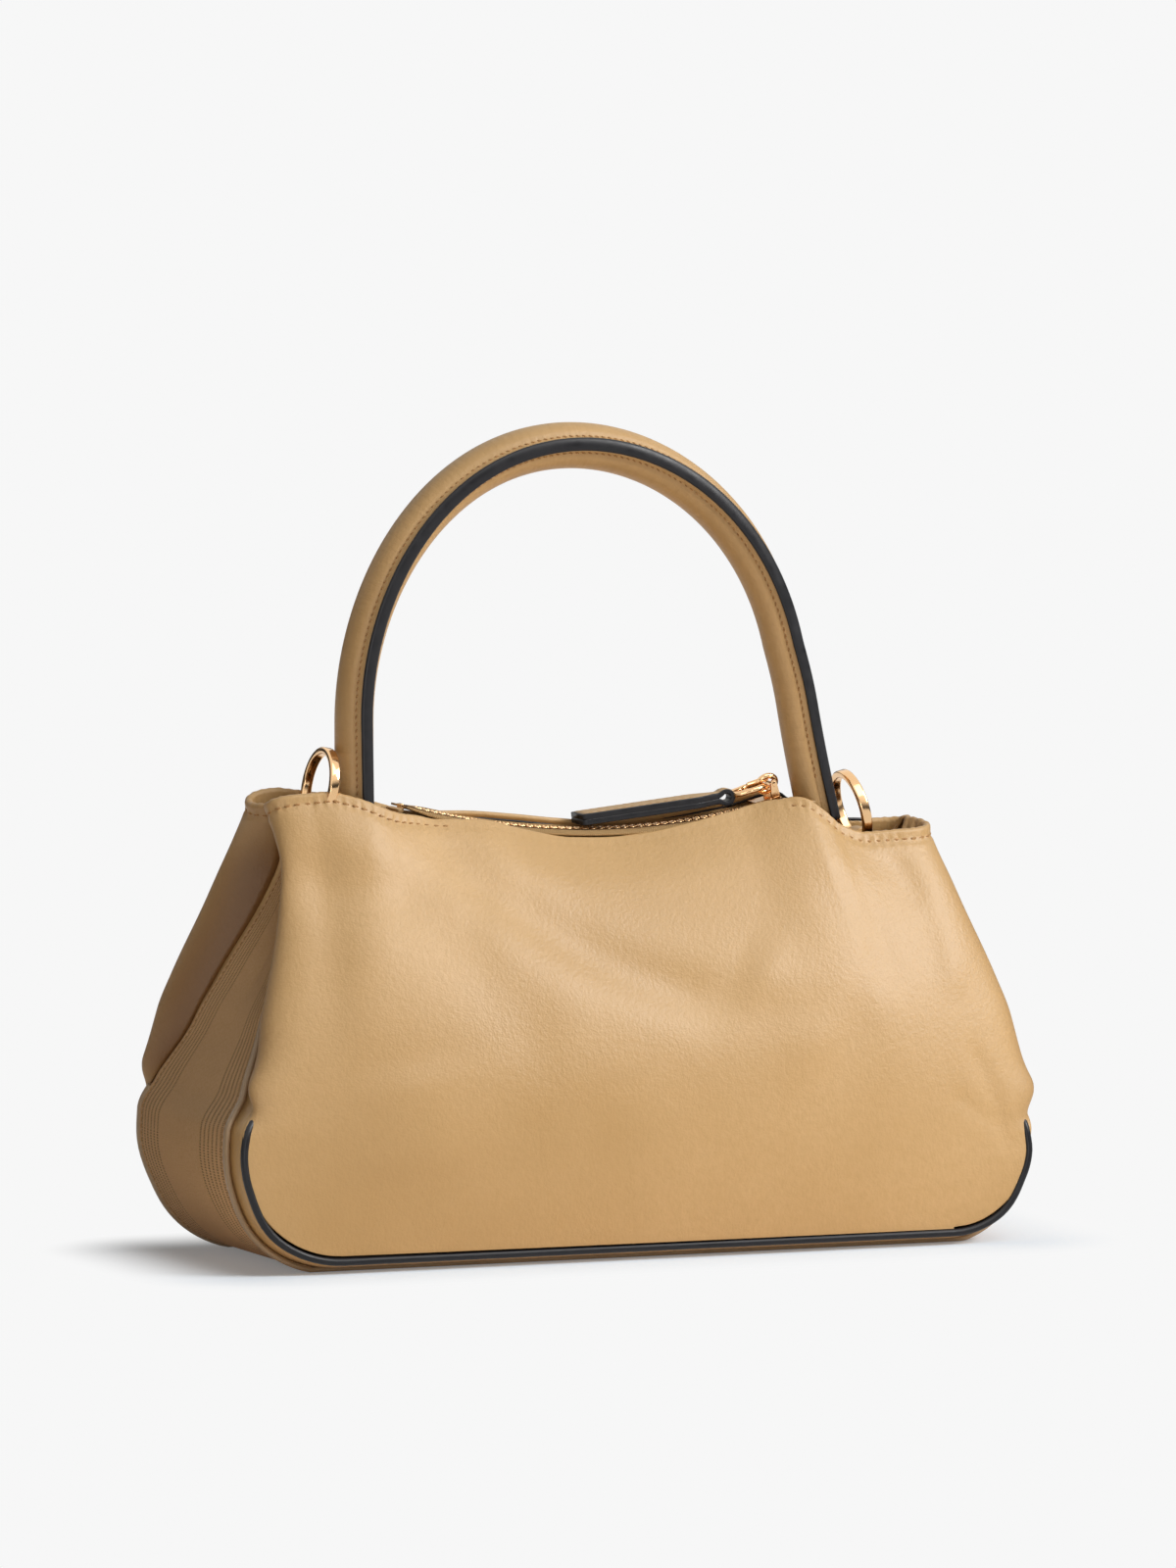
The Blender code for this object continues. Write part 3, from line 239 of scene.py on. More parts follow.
# %% [markdown]
# The leather is smooth calf with a fine tumbled grain: soft pebbles a little over a millimetre across,
# with finer creases between them. The colour drifts a little over the hide, and painted shade darkens
# it down in the pleats. The grain is bump, because it is far finer than the mesh.

# %% Tan leather
TAN = (0.61, 0.386, 0.165)
# Painted shade in the pleats: the deep tone is scaled by these shares there.
PAINTED_PLEAT_SHADE = (0.42, 0.33, 0.26)


def leather(name, colour, deep, pale, grain=860.0, depth=0.00013, rough=0.46):
    """Grained leather: pebbles from a smooth Voronoi, drift from two noises."""
    made, tree, shader = finish(name, colour, rough, specular=0.62)
    drift = texture(tree, "Noise", 14.0, 3.0)
    tone = blend_colours(tree, levels(tree, drift, 0.3, 0.7), deep, pale)
    speck = levels(tree, texture(tree, "Noise", 420.0, 2.0), 0.35, 0.7, 0.0, 0.35)
    # Painted shade: the crease attribute darkens the tone down in the pleats, where shade falls.
    pleated = add(tree, "Attribute", attribute_name="crease").outputs["Fac"]
    pleat_shade_colour = tuple(value * share for value, share in zip(deep, PAINTED_PLEAT_SHADE))
    tone = blend_colours(tree, pleated, tone, pleat_shade_colour)
    tone = blend_colours(tree, speck, tone, blend_colours(tree, pleated, deep, pleat_shade_colour))
    pebble = texture(tree, "Voronoi", grain, stretch=(1.0, 1.0, 0.72), feature="SMOOTH_F1")
    wrinkle = texture(tree, "Noise", grain * 1.9, 2.0)
    bump(tree, shader, calc(tree, "MULTIPLY_ADD", pebble, -0.9, wrinkle), depth, 0.75)
    gloss = levels(tree, drift, 0.3, 0.7, rough - 0.05, rough + 0.06)
    feed(tree, shader, {"Base Color": tone, "Roughness": gloss})
    return made


tan_leather = leather("tan leather", TAN, (0.55, 0.338, 0.132), (0.65, 0.42, 0.19))
print("leather ready")

# %% [markdown]
# The cut edges are sealed with black paint, laid on thick enough to round over. The thread is a shade
# browner than the leather. Both have a faint unevenness of their own.

# %% Edge paint and thread
def patterned(name, colour, roughness, kind, scale, tones, depth, strength, specular=0.5, gloss=None,
              **settings):
    """A stuff where one pattern gives the two tones, the relief and, if asked for, the roughness."""
    made, tree, shader = finish(name, colour, roughness, specular=specular)
    pattern = texture(tree, kind, scale, **settings)
    feed(tree, shader, {"Base Color": blend_colours(tree, pattern, *tones)})
    if gloss:
        feed(tree, shader, {"Roughness": levels(tree, pattern, 0.3, 0.7, *gloss)})
    bump(tree, shader, pattern, depth, strength)
    return made


painted = patterned("black edge paint", (0.008, 0.008, 0.010), 0.32, "Noise", 260.0,
                    ((0.006, 0.006, 0.008), (0.013, 0.013, 0.016)), 0.00008, 0.5, 0.36,
                    gloss=(0.3, 0.46), detail=3.0)
thread = patterned("sewing thread", (0.42, 0.22, 0.075), 0.6, "Wave", 900.0,
                   ((0.32, 0.155, 0.048), (0.52, 0.29, 0.11)), 0.00008, 0.6, bands_direction="DIAGONAL")
print("paint and thread ready")

# %% [markdown]
# A soft shell starts as a flat grid, as a hide starts flat on the bench. Each of its points is then
# laid at its place on the form, row by row, and the sheet gets its thickness from Solidify. A tube is
# the same grid rolled up, with its two long sides merged.

# %% Laying a grid on a form
SHELL = 0.0009
TO_BACK = np.array([0.0, 1.0, 0.0])


def deselect():
    """Nothing selected, because an operator acts on all that is."""
    bpy.ops.object.select_all(action="DESELECT")


def edit_all():
    """Edit mode, with the whole piece selected."""
    bpy.ops.object.mode_set(mode="EDIT")
    bpy.ops.mesh.select_all(action="SELECT")


def leave_edit(outward=False):
    """Back to object mode, after turning the faces outwards if asked."""
    if outward:
        bpy.ops.mesh.normals_make_consistent(inside=False)
    bpy.ops.object.mode_set(mode="OBJECT")


def named(name):
    """The piece that an operator just made, with its name."""
    piece = bpy.context.object
    piece.name = piece.data.name = name
    return piece


def points_of(piece):
    return np.array([v.co for v in piece.data.vertices])


def put_points(piece, points):
    piece.data.vertices.foreach_set("co", points.ravel())


def unit(ways):
    """Directions brought to a length of 1."""
    return ways / np.maximum(np.linalg.norm(ways, axis=-1, keepdims=True), 1e-12)


def heading(angle):
    """A direction in the XZ plane."""
    return np.array([math.cos(angle), 0, math.sin(angle)])


def run_along(path):
    """How far along a path each of its points lies."""
    return np.concatenate([[0], np.cumsum(np.linalg.norm(np.diff(path, axis=0), axis=1))])


def read_at(at, run, rows):
    """Reads rows of three values at a distance along."""
    return np.stack([np.interp(at, run, rows[:, k]) for k in range(3)], -1)


def lay_grid(name, points, mat, closed=False, caps=False, sizes=None, crease=None):
    """A grid primitive laid on rows of points. Closed rolls each row into a ring.

    Crease, if given, says how deep in a pleat each point lies, 0 to 1, for the shade painted into the
    leather's colour.
    """
    points = np.asarray(points, float)
    if closed:
        points = np.concatenate([points, points[:, :1]], 1)
    rows, columns = points.shape[:2]
    deselect()
    bpy.ops.mesh.primitive_grid_add(x_subdivisions=columns - 1, y_subdivisions=rows - 1, size=1)
    piece = named(name)
    flat = points_of(piece)
    across = np.rint((flat[:, 0] + 0.5) * (columns - 1)).astype(int)
    down = np.rint((flat[:, 1] + 0.5) * (rows - 1)).astype(int)
    put_points(piece, points[down, across])
    if sizes is not None:
        uv = np.zeros(len(piece.data.loops) * 2)
        piece.data.uv_layers[0].data.foreach_get("uv", uv)
        piece.data.uv_layers[0].data.foreach_set("uv", (uv.reshape(-1, 2) * sizes).ravel())
    piece.data.materials.append(mat)
    if crease is not None:
        marks = piece.data.attributes.new("crease", "FLOAT", "POINT")
        marks.data.foreach_set("value", crease[down, across].ravel())
    if closed:
        edit_all()
        bpy.ops.mesh.remove_doubles(threshold=1e-6)
        if caps:
            bpy.ops.mesh.select_all(action="DESELECT")
            bpy.ops.mesh.select_non_manifold()
            bpy.ops.mesh.edge_face_add()
            bpy.ops.mesh.select_all(action="SELECT")
        leave_edit(outward=True)
    bpy.ops.object.shade_smooth()
    return piece


def apply_modifier(piece, kind, **settings):
    """Adds a modifier, sets it and applies it."""
    bpy.context.view_layer.objects.active = piece
    made = piece.modifiers.new(kind.lower(), kind)
    for key, value in settings.items():
        setattr(made, key, value)
    bpy.ops.object.modifier_apply(modifier=made.name)


def thicken(piece, thickness=SHELL):
    """Gives a sheet its thickness, inwards from its outer skin."""
    apply_modifier(piece, "SOLIDIFY", thickness=thickness, offset=-1)
    return piece


def normals_of(grid, outward=1.0):
    """The direction away from the surface at each point of a grid."""
    return outward * unit(np.cross(np.gradient(grid, axis=1), np.gradient(grid, axis=0)))


def mark(piece, replaced):
    """Hides the nodes that the piece stands for, and prints its number of points."""
    if replaced:
        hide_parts(*replaced)
    print(piece.name, len(piece.data.vertices), "points")


def dress(piece, body, slot, *replaced):
    """Rides the piece on its body and marks it."""
    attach(piece, body)
    mark(piece, replaced)


# %% [markdown]
# The bag's form in numbers, in metres: its base and its height set the rest. The hems are drawn
# as shares of the height, from the left end to the right, and a smooth curve runs through each table.
# The tables under HEIGHT_AT say how far, on the way up, the side seam turns in, the ends are tucked,
# the valley in each end sinks, and the front leans over to one side at the left end.

# %% Measures of the bag
BASE_LENGTH = 0.260
BASE_DEPTH = 0.087
TOP_LENGTH = 0.212
TOP_DEPTH = 0.0284
BODY_HEIGHT = 0.1435
LEFT_CORNER = 0.035
RIGHT_CORNER = 0.026
FRONT_BULGE = 0.0105
BASE_SAG = 0.0022
LEATHER = 0.0015
CLEARANCE = 0.0003
FOLD_RADIUS = 0.012
GUSSET_TUCK = 0.0125
GUSSET_VALLEY = 0.005
ZIP_EDGE_GAP = 0.0068
FRONT_SKEW = 0.0075
SEAM_EDGE = 0.0024
SEAM_PROUD = 0.0004
BAND_THICKNESS = 0.001
HEM_AT = [-1, -0.93, -0.84, -0.75, -0.6, -0.5, -0.34, -0.2, -0.06, 0.05, 0.16, 0.28, 0.42, 0.56,
          0.62, 0.67, 0.72, 0.79, 0.88, 1]
FRONT_HEM = [0.985, 0.999, 0.996, 0.982, 0.944, 0.935, 0.93, 0.905, 0.885, 0.882, 0.888, 0.903,
             0.926, 0.949, 0.945, 0.92, 0.885, 0.867, 0.869, 0.882]
BACK_HEM = [0.985, 0.992, 0.985, 0.975, 0.955, 0.937, 0.933, 0.923, 0.910, 0.903, 0.905, 0.915,
            0.931, 0.948, 0.945, 0.925, 0.9, 0.882, 0.876, 0.868]
HEIGHT_AT = [0, 0.25, 0.33, 0.46, 0.59, 0.81, 0.93, 1]
SEAM_IN = [0, 0, 0.14, 0.38, 0.47, 0.62, 0.83, 0.965]
TUCK = [0, 0, 0.2, 0.55, 0.75, 1, 0.62, 0.3]
VALLEY = [0, 0, 0, 0.3, 0.8, 1, 0.7, 0.4]
SKEW = [0, 0.25, 1.05, 1.42, 1.36, 0.85, 0.4, 0.15]
DRAW_AT = [0, 0.16, 0.34, 0.45, 0.67, 0.85, 1]
DRAW_IN = [0, 0.02, 0.13, 0.29, 0.67, 0.91, 1]
LEAN_POWER = 1.8
RIGHT_FULL = 0.0021
SEAM_DRAW = 0.0021
PLEAT_SINK = 0.0020
LEFT_ROUND = 0.0048
GUSSET_TOP = 0.93
BAND_WIDTH = 0.79
BAND_UNDER = 0.12
FLAT_BASE = 0.8
FULLNESS = 0.15
SIDE_TOP = {-1: BODY_HEIGHT * FRONT_HEM[0], 1: BODY_HEIGHT * FRONT_HEM[-1]}
SEAM_Z = BAND_THICKNESS + CLEARANCE + BASE_SAG
SEAM_INSET = LEATHER / 2 - SEAM_PROUD
SEAM_SETBACK = SEAM_INSET + SEAM_EDGE / 2 + CLEARANCE
CORNER_SHARE = (LEFT_CORNER + RIGHT_CORNER) / 2 / (BODY_HEIGHT - SEAM_Z)
print("form", BASE_LENGTH, BASE_DEPTH, BODY_HEIGHT)

# %% [markdown]
# The same few functions give the panels, the gusset, the edges and the band, so that all of them meet.
# In them u runs across, from -1 at the left end to 1 at the right, and v runs up, from 0 at the painted
# edge to 1 at the hem. Side is -1 or 1 for the left or right end, and half is -1 or 1 for front or back.

# %% The bag's form
def table(at, shares, where):
    """Reads a table along a smooth curve that never runs past its own values."""
    at, shares = np.asarray(at, float), np.asarray(shares, float)
    rates = np.diff(shares) / np.diff(at)
    before, after = rates[:-1], rates[1:]
    same = before * after > 0
    slopes = np.zeros(len(at))
    slopes[1:-1][same] = 2 * before[same] * after[same] / (before + after)[same]
    where = np.clip(np.asarray(where, float), at[0], at[-1])
    k = np.clip(np.searchsorted(at, where) - 1, 0, len(at) - 2)
    step = at[k + 1] - at[k]
    t = (where - at[k]) / step
    rise = t * t * (3 - 2 * t)
    bend = step * (t * (1 - t) ** 2 * slopes[k] + t * t * (t - 1) * slopes[k + 1])
    return (1 - rise) * shares[k] + rise * shares[k + 1] + bend


def ease(low, high, value):
    """0 below low, 1 above high, smooth between."""
    t = np.clip((value - low) / (high - low), 0, 1)
    return t * t * (3 - 2 * t)


def between(start, full, fall, end, value):
    """Rises from 0 to 1 from start to full, and falls back from fall to end."""
    return ease(start, full, value) * (1 - ease(fall, end, value))


def corner_radius(u):
    return LEFT_CORNER + (RIGHT_CORNER - LEFT_CORNER) * (1 + np.asarray(u, float)) / 2


def fuller(side, z):
    """The right end is a little fuller than the left."""
    return RIGHT_FULL * (np.asarray(side) > 0) * ease(0, corner_radius(side), z - SEAM_Z)


def half_length(side, z, inset=0.0):
    """Half of the length at a height: a round corner, less any inset, then a side that draws in."""
    radius = corner_radius(side)
    above = np.clip(z - SEAM_Z, 0, None)
    inset = inset * (1 - ease(0.95, 1.5, above / radius))
    low = np.clip(radius - above, 0, None)
    corner = BASE_LENGTH / 2 - radius + np.sqrt(np.clip((radius - inset) ** 2 - low**2, 0, None))
    corner = corner + fuller(side, z)
    rise = np.clip((above - radius) / (BODY_HEIGHT - SEAM_Z - radius), 0, 1)
    return corner - (BASE_LENGTH - TOP_LENGTH) / 2 * table(DRAW_AT, DRAW_IN, rise)


def front_skew(side, v):
    return FRONT_SKEW * table(HEIGHT_AT, SKEW, v) * (np.asarray(side) < 0)


def half_depth(u, v):
    """Half of the depth at a share across, u, and a share of the height, v."""
    across = np.abs(u)
    spread = 0.12 + 0.20 * np.clip(1 - v, 0, 1) ** 0.7
    hem = TOP_DEPTH / 2 + (ZIP_EDGE_GAP - TOP_DEPTH / 2) * (1 - ease(0.58 - spread, 0.58 + spread, across))
    base = BASE_DEPTH / 2 + (hem - BASE_DEPTH / 2) * v**LEAN_POWER
    return base + FRONT_BULGE * np.sin(math.pi * np.clip(v, 0, 1)) ** 0.8 * (1 - across**2.5)


def share_of_height(side, z):
    radius = float(corner_radius(side))
    above = np.asarray(z - SEAM_Z, float)
    upper = np.clip((above - radius) / (SIDE_TOP[side] - SEAM_Z - radius), 0, 1)
    return CORNER_SHARE * np.clip(above / radius, 0, 1) + (1 - CORNER_SHARE) * upper


def height_of_share(u, v, top):
    radius = corner_radius(u)
    upper = np.clip((v - CORNER_SHARE) / (1 - CORNER_SHARE), 0, 1)
    return SEAM_Z + radius * np.clip(v / CORNER_SHARE, 0, 1) + (top - SEAM_Z - radius) * upper


def seam_point(side, z):
    """Where the side seam lies at a height: (x, half depth)."""
    v = share_of_height(side, z)
    x = half_length(side, z) - GUSSET_TUCK * table(HEIGHT_AT, TUCK, v)
    return float(side * x), float(half_depth(1.0, v) * (1 - table(HEIGHT_AT, SEAM_IN, v)))


def drawn(side, z):
    """How far the seam is drawn in at the lower corners, where the soft end bellies out."""
    v = share_of_height(side, z)
    return SEAM_DRAW * between(0.03, 0.14, 0.24, 0.36, v)


def pleat(half, v):
    """How far the back seam sinks under the fold that overhangs it."""
    return PLEAT_SINK * (half > 0) * between(0.26, 0.42, 0.86, 1, v)


def seam_path(side_steps, corner_steps, base_steps, top_share=1.0):
    """Stations along the U of the gusset: (side, x, z, half depth, outward x, outward z)."""
    halves = []
    for side in (-1, 1):
        radius = float(corner_radius(side))
        flat = BASE_LENGTH / 2 - radius
        part = [(side * flat * k / base_steps, SEAM_Z, 0.0, -1.0) for k in range(base_steps)]
        for k in range(corner_steps):
            turn = math.pi / 2 * k / corner_steps
            z = SEAM_Z + radius * (1 - math.cos(turn))
            x = flat + radius * math.sin(turn) + float(fuller(side, z))
            part.append((side * x, z, side * math.sin(turn), -math.cos(turn)))
        low = SEAM_Z + radius
        high = float(height_of_share(side, top_share, SIDE_TOP[side]))
        for z in np.linspace(low, high, side_steps + 1):
            part.append((seam_point(side, z)[0], z, float(side), 0.0))
        rows = []
        for x, z, out_x, out_z in part:
            rows.append((side, x - side * float(drawn(side, z)), z, seam_point(side, z)[1], out_x, out_z))
        halves.append(rows)
    return halves[0][::-1] + halves[1][1:]


print("half depth in the middle", round(float(half_depth(0, 0.5)), 4))

# %% [markdown]
# Front and back are each one hide. It rises from the painted edge, leans in to the zip and wraps
# round both ends into the gusset's pleats. First comes its outer skin, still without a wrinkle.

# %% Outer skin of a panel
COLUMNS = 262
WRAPS = 26
CORNER_ROWS = 22
SIDE_ROWS = 82
HEM_DIP = 0.0036
NOTCH_FILL = 0.0038
NOTCH_AT = 0.33


def panel_row(half, v, hem):
    """One row of a panel's outer skin, from seam to seam."""
    reach = 1 - FOLD_RADIUS / (TOP_LENGTH / 2)
    u = np.linspace(-reach, reach, COLUMNS)
    z = height_of_share(u, v, BODY_HEIGHT * table(HEM_AT, hem, u))
    length = half_length(np.sign(u), z, SEAM_SETBACK + CLEARANCE)
    push = front_skew(u, v) * (half < 0)
    depth = half_depth(u, v)
    if half < 0:
        depth = depth - LEFT_ROUND * ease(0.4, 1, -u) ** 1.6 * ease(0.35, 0.8, v)
        z = z - HEM_DIP * 0.75 * ease(0.8, 1, -u) * ease(0.8, 1, v)
    row = np.stack([u * length + push * ease(0.4, 1, abs(u)), half * depth, z], 1)
    t = np.linspace(0, 1, WRAPS + 1)[1:]
    ends = []
    for side, near in ((-1, row[0]), (1, row[-1])):
        z = float(height_of_share(side, v, SIDE_TOP[side]))
        pushed = float(front_skew(side, v)) * (half < 0)
        outer = side * float(half_length(side, z, SEAM_SETBACK + CLEARANCE)) + pushed
        end_x, end_depth = seam_point(side, z)
        end_x += outer - side * float(half_length(side, z)) - side * float(pleat(half, v))
        fold = float(half_depth(1.0, v))
        if half < 0 and side < 0:
            fold -= LEFT_ROUND * float(ease(0.35, 0.8, v))
        bulge = side * (abs(outer - near[0]) + abs(outer - end_x)) * FULLNESS
        fill = NOTCH_FILL * (0.3 if half > 0 and side < 0 else 1)
        bulge += side * fill * math.exp(-(((v - NOTCH_AT) / 0.06) ** 2))
        a, b, c, d = (1 - t) ** 3, 3 * t * (1 - t) ** 2, 3 * t * t * (1 - t), t**3
        x = a * near[0] + (b + c) * (outer + bulge) + d * end_x
        y = a * abs(near[1]) + b * fold + c * (end_depth + (fold - end_depth) * 0.45) + d * end_depth
        flat_x = near[0] + (end_x - near[0]) * t
        flat_y = half_depth(reach + (1 - reach) * t, v) - (fold - end_depth) * t**2
        soft = float(ease(0.22, 0.38, v))
        level = near[2] + (z - near[2]) * ease(0, 1, t)
        if side < 0:
            start = 0.75 if half < 0 else 0.0
            dip = start + (1 - start) * ease(0, 0.8, t)
            level = level - HEM_DIP * (dip - start * (1 - ease(0, 1, t))) * float(ease(0.8, 1, v))
        ends.append(np.stack([flat_x + (x - flat_x) * soft, half * (flat_y + (y - flat_y) * soft), level], 1))
    return np.concatenate([ends[0][::-1], row, ends[1]])


def panel_grid(half, hem):
    """A panel's outer skin from its painted edge up to its hem, as rows of points."""
    middle = 2 * SEAM_SETBACK / (LEFT_CORNER + RIGHT_CORNER)
    turns = math.pi / 2 * np.arange(CORNER_ROWS) / CORNER_ROWS
    shares = list(CORNER_SHARE * (1 - (1 - middle) * np.cos(turns)))
    shares += list(np.linspace(CORNER_SHARE, 1, SIDE_ROWS))
    return np.array([panel_row(half, v, hem) for v in shares]), np.array(shares)


print("panel grid", CORNER_ROWS + SIDE_ROWS, "by", COLUMNS + 2 * WRAPS)

# %% [markdown]
# Soft leather doesn't hang flat, so broad drapes and small dents are pushed in along the surface's own
# normal. Each drape is a line from one place in X and Z to another, with a width, a depth and a bow; a
# swell has its depth below zero. Then the hem rolls over inwards, drawn in a little by its stitches.

# %% Drapes and hems
HEM_ROLL = 0.00125
HEM_PULL = 0.00075
HEM_PUCKER = 0.0004
HEM_SWELL = 0.00045
HEM_SETBACK = 0.0033
ROLL_ROWS = 9
FACING_ROWS = 5
FACING = {"ear": 0.011, "zip": 0.0015}
ZIP_REACH = (-0.052, 0.066)
ZIP_DROP = 0.0011
STITCH_PITCH = 0.0031


def drape(grid, start, end, width, depth, bow=0.0):
    """How deep one drape presses at each point: a soft valley along a line in X and Z."""
    a, b = np.array(start), np.array(end)
    reach = np.linalg.norm(b - a)
    along = (b - a) / reach
    away = grid[..., [0, 2]] - a
    t = (away @ along) / reach
    side = away @ np.array([-along[1], along[0]]) - bow * np.sin(math.pi * np.clip(t, 0, 1))
    return depth * np.exp(-((side / width) ** 2)) * between(-0.18, 0.2, 0.75, 1.2, t)


FRONT_DRAPES = [
    ((-0.050, 0.122), (0.020, 0.079), 0.0085, 0.0019, -0.004),
    ((0.012, 0.083), (0.070, 0.073), 0.0090, 0.0011, -0.003),
    ((-0.092, 0.128), (-0.097, 0.070), 0.0065, 0.0006, 0.002),
    ((0.093, 0.118), (0.104, 0.084), 0.0055, 0.0008, 0.002),
    ((0.070, 0.112), (0.084, 0.080), 0.0080, 0.0006, 0.002),
    ((0.112, 0.060), (0.122, 0.030), 0.0030, 0.0005, 0.001),
    ((0.104, 0.046), (0.119, 0.036), 0.0028, 0.0003, 0.000),
    ((-0.102, 0.117), (-0.058, 0.111), 0.0105, 0.0018, 0.000),
    ((-0.060, 0.104), (-0.030, 0.060), 0.0120, 0.0010, 0.004),
]
FRONT_SWELLS = [
    ((0.040, 0.085), (0.066, 0.066), 0.0150, -0.0016, 0.0),
    ((-0.075, 0.060), (-0.070, 0.030), 0.0200, -0.0010, 0.0),
    ((0.100, 0.104), (0.110, 0.078), 0.0060, -0.0007, 0.0),
]
BACK_DRAPES = [
    ((0.052, 0.121), (-0.018, 0.082), 0.0090, 0.0017, 0.004),
    ((-0.060, 0.118), (-0.088, 0.070), 0.0070, 0.0013, 0.0),
    ((0.086, 0.116), (0.100, 0.072), 0.0060, 0.0013, 0.0),
    ((0.000, 0.080), (-0.060, 0.060), 0.0110, 0.0010, 0.0),
]


def beside_zip(x, soft):
    """1 along the zip and 0 at the ears, with a soft change between."""
    return between(ZIP_REACH[0] - soft, ZIP_REACH[0] + soft / 3, ZIP_REACH[1] - soft, ZIP_REACH[1], x)


def shell(name, half, hem, drapes):
    """A panel: its skin with the drapes pressed in, then the hem rolled over and faced inside."""
    grid, shares = panel_grid(half, hem)
    outward = normals_of(grid, -half)
    press = sum(drape(grid, *line) for line in drapes)
    press = press * between(0.05, 0.2, 0.93, 0.985, shares)[:, None]
    grid = grid - outward * press[..., None]
    zip_part = beside_zip(grid[-1, :, 0], 0.006)
    roll = HEM_ROLL * (1 - 0.35 * zip_part)
    grid[..., 2] -= (roll + ZIP_DROP * zip_part * (half < 0)) * ease(0.86, 1.0, shares)[:, None]
    depth = np.cumsum(np.linalg.norm(np.diff(grid[::-1], axis=0), axis=2), axis=0)
    depth = np.concatenate([np.zeros((1, grid.shape[1])), depth])[::-1]
    pull = HEM_PULL + HEM_PUCKER * np.cos(2 * math.pi * run_along(grid[-1]) / STITCH_PITCH)
    pull = pull * (1 - 0.75 * zip_part)
    groove = np.exp(-(((depth - HEM_SETBACK + HEM_ROLL) / 0.0009) ** 2)) * pull
    groove -= np.exp(-(((depth - 0.0004) / 0.0010) ** 2)) * HEM_SWELL * (1 - 0.6 * zip_part)
    grid = grid - outward * groove[..., None]
    up = unit(grid[-1] - grid[-3])
    inward = -outward[-1]
    inward = unit(inward - (inward * up).sum(1)[:, None] * up)
    rolled = []
    for k in range(1, ROLL_ROWS + 1):
        turn = math.pi * k / ROLL_ROWS
        rolled.append(grid[-1] + roll[:, None] * ((1 - math.cos(turn)) * inward + math.sin(turn) * up))
    drop = FACING["ear"] + (FACING["zip"] - FACING["ear"]) * zip_part
    for k in range(1, FACING_ROWS + 1):
        rolled.append(rolled[ROLL_ROWS - 1] - up * (drop * k / FACING_ROWS)[:, None])
    grid = np.concatenate([grid, np.array(rolled)])
    if half > 0:
        grid = grid[:, ::-1]
    # The crease attribute: how far into the pleat at each end a point lies, for the shade painted into the
    # colour.
    column = np.arange(grid.shape[1])
    turned_in = np.clip((WRAPS - np.minimum(column, column[::-1])) / WRAPS, 0, 1)
    heights = np.concatenate([shares, np.ones(len(grid) - len(shares))])
    deep = ease(0.24, 0.4, heights) * (1 - 0.55 * ease(0.8, 1, heights))
    crease = np.outer(deep, ease(0.12, 0.95, turned_in))
    return thicken(lay_grid(name, grid, tan_leather, crease=crease)), grid


front_shell, front_grid = shell("front_leather", -1, FRONT_HEM, FRONT_DRAPES + FRONT_SWELLS)
back_shell, back_grid = shell("back_leather", 1, BACK_HEM, BACK_DRAPES)
dress(front_shell, "bag", "leather", "front_panel")
dress(back_shell, "bag", "leather", "back_panel")

# %% [markdown]
# One strip of leather runs down the left end, under the base and up the right end, pleated inwards
# at the top. Its cut edges and the panels' are closed together under black paint, a bead that
# follows the seam. Higher up the seam turns inwards, so the leather closes over the bead there.

# %% Gusset and painted seam beads
BEAD_TUCK = 0.0019
TUCK_FROM = {-1: (0.2, 0.34), 1: (0.1, 0.2)}
GUSSET_COLUMNS = 44
BEAD_SIDES = 14
stations = seam_path(72, 24, 26, GUSSET_TOP)


def gusset_point(station, share):
    """A point on the gusset's outer skin, share running from -1 at the front seam to 1 at the back."""
    side, x, z, depth, out_x, out_z = station
    v = share_of_height(side, z)
    across = abs(share)
    level = 1 - np.clip((across - FLAT_BASE) / (1 - FLAT_BASE), 0, 1) ** 2
    out = BASE_SAG * level * out_z**2 - GUSSET_VALLEY * table(HEIGHT_AT, VALLEY, v) * (1 - across**1.2)
    out += float(drawn(side, z)) * (1 - across ** (4 if share > 0 else 2.5)) * abs(out_x)
    out -= float(pleat(share, v)) * across**1.5
    skew = front_skew(side, v) * (1 - share) / 2 * abs(out_x)
    return np.array([x + out * out_x + skew, share * depth, z + out * out_z])


def tucked(station, half):
    """How far the front or back seam is turned in at a station, 0 to 1."""
    return float(ease(*TUCK_FROM[half], share_of_height(station[0], station[2])))


def gusset_rows(low, high, columns):
    """Rows across the gusset between two shares of its free width.

    The band runs on a little under the back fold, and the whole gusset runs on to the seams.
    """
    rows = []
    for station in stations:
        end = 1 - SEAM_SETBACK / station[3]
        scale = min(1.0, end / GUSSET_TOP)
        first, last = low * scale, high * scale
        if high == BAND_WIDTH:
            last += BAND_UNDER * tucked(station, 1) * scale
        if (low, high) == (-1, 1):
            first = -end - (1 - end) * tucked(station, -1)
            last = end + (1 - end) * tucked(station, 1)
        shares = np.linspace(first, last, columns)
        rows.append([gusset_point(station, share) for share in shares])
    return np.array(rows)


def bead_path(half):
    """The painted seam's centre line, and the way out from the bag at each point."""
    centres, outs = [], []
    for station in stations:
        side, x, z, depth, out_x, out_z = station
        out = np.array([out_x, 0.0, out_z])
        skew = float(front_skew(side, share_of_height(side, z))) * (half < 0) * abs(out_x)
        centre = np.array([x + skew, half * (depth - SEAM_INSET), z]) - SEAM_INSET * out
        sink = BEAD_TUCK * tucked(station, half) + float(pleat(half, share_of_height(side, z)))
        centres.append(centre - sink * out)
        outs.append(out)
    return np.array(centres), np.array(outs)


def frames_along(path, outs):
    """For each point of a path: the way sideways and the way out, square to the path."""
    along = unit(np.gradient(path, axis=0))
    side = unit(np.cross(along, outs))
    return along, side, np.cross(side, along)


